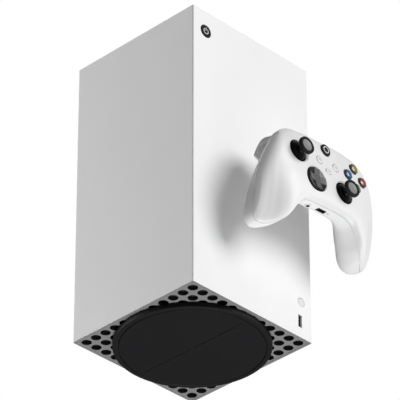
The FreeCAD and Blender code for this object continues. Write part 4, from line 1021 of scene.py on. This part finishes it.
def dress_nodes():
    """Gives every carried-over node its material."""
    for part in frame["record"]["subparts"]:
        look = LOOKS[NODE_LOOKS.get(part["node"], part["material_slot"])]
        for slot in frame["nodes"][part["node"]].material_slots:
            slot.material = look


# ---- floor, light and camera -------------------------------------------------------------------

# The direction that the sky's light is strongest towards, and its strength away from it and towards it.
SKY_TOWARDS = (0.76, -0.56, -0.33)
SKY_LOW = 0.0
SKY_HIGH = 0.54

# Each lamp's name, place, width in metres and power in watts.
LIGHTS = (
    ("key_light", (0.60, -1.80, 0.85), 1.2, 28.5),
    ("side_light", (-1.35, 1.80, 0.50), 1.4, 41.0),
    ("low_light", (0.05, -0.30, -2.00), 1.5, 38.0),
)

# The camera's place and directions, found from the tower's corners at its real size.
CAMERA_PLACE = Vector((-1.95814, -1.94380, -1.62226))
CAMERA_AHEAD = Vector((0.5978478, 0.5905577, 0.5420513))
CAMERA_RIGHT = Vector((0.702831, -0.711357, -0.000164))
CAMERA_LENS = 322.98

FLOOR_LEVEL = -3.0
FLOOR_HALF = 4.0
SENSOR_WIDTH = 36.0


def studio_floor():
    """Pale floor well below the object."""
    bm = bmesh.new()
    bmesh.ops.create_grid(bm, x_segments=8, y_segments=8, size=FLOOR_HALF)
    mesh = bpy.data.meshes.new("studio_floor")
    bm.to_mesh(mesh)
    bm.free()
    floor = bpy.data.objects.new("studio_floor", mesh)
    floor.location.z = FLOOR_LEVEL
    mesh.materials.append(surface("floor_pale", (0.62, 0.62, 0.62), 0.8, grain=200.0, mottle=0.01))
    bpy.context.scene.collection.objects.link(floor)


def studio_sky():
    """White where the camera sees it. Its light fades from one side to the other."""
    world = bpy.data.worlds.new("studio_sky")
    bpy.context.scene.world = world
    world.use_nodes = True
    tree = world.node_tree
    tree.nodes.clear()
    lean = node(tree, "ShaderNodeVectorMath", operation="DOT_PRODUCT")
    lean.inputs[1].default_value = SKY_TOWARDS
    tree.links.new(node(tree, "ShaderNodeTexCoord").outputs["Generated"], lean.inputs[0])
    height = ranged(tree, lean.outputs["Value"], SKY_LOW, SKY_HIGH, -1.0, 1.0)
    light = node(tree, "ShaderNodeBackground", Color=(1, 1, 1, 1))
    tree.links.new(height, light.inputs["Strength"])
    seen = node(tree, "ShaderNodeBackground", Color=(1, 1, 1, 1), Strength=1.0)
    choice = node(tree, "ShaderNodeMixShader")
    tree.links.new(node(tree, "ShaderNodeLightPath").outputs["Is Camera Ray"], choice.inputs["Fac"])
    tree.links.new(light.outputs["Background"], choice.inputs[1])
    tree.links.new(seen.outputs["Background"], choice.inputs[2])
    tree.links.new(choice.outputs["Shader"], node(tree, "ShaderNodeOutputWorld").inputs["Surface"])


def studio_lamps():
    """Soft round lamps, all aimed at the object's middle."""
    centre = (cad_low + cad_high) / 2
    for name, place, across, power in LIGHTS:
        lamp = bpy.data.lights.new(name, "AREA")
        lamp.shape = "DISK"
        lamp.size = across
        lamp.energy = power
        made = bpy.data.objects.new(name, lamp)
        made.location = place
        made.rotation_mode = "QUATERNION"
        made.rotation_quaternion = (centre - Vector(place)).to_track_quat("-Z", "Y")
        bpy.context.scene.collection.objects.link(made)


def camera():
    """Looks up at the tower's lower corner from the front left."""
    data = bpy.data.cameras.new("photo_camera")
    data.lens = CAMERA_LENS
    data.sensor_width = SENSOR_WIDTH
    data.clip_start = 0.1
    data.clip_end = 50.0
    made = bpy.data.objects.new("photo_camera", data)
    back = -CAMERA_AHEAD.normalized()
    right = (CAMERA_RIGHT - CAMERA_RIGHT.dot(back) * back).normalized()
    turn = Matrix((right, back.cross(right), back)).transposed()
    made.matrix_world = Matrix.Translation(CAMERA_PLACE) @ turn.to_4x4()
    bpy.context.scene.collection.objects.link(made)
    bpy.context.scene.camera = made


bpy.context.scene.view_settings.view_transform = "Standard"
camera()
studio_floor()
studio_sky()
studio_lamps()
dress_nodes()
front_case()
rear_case()
trigger_blade(-1, "left")
trigger_blade(1, "right")
headset_socket()
stick_cap("left", LEFT_STICK)
stick_cap("right", RIGHT_STICK)
pad_face()
face_buttons()
view_and_menu_buttons()
share_button()
guide_button()
base_shade_sheet()
power_mark()
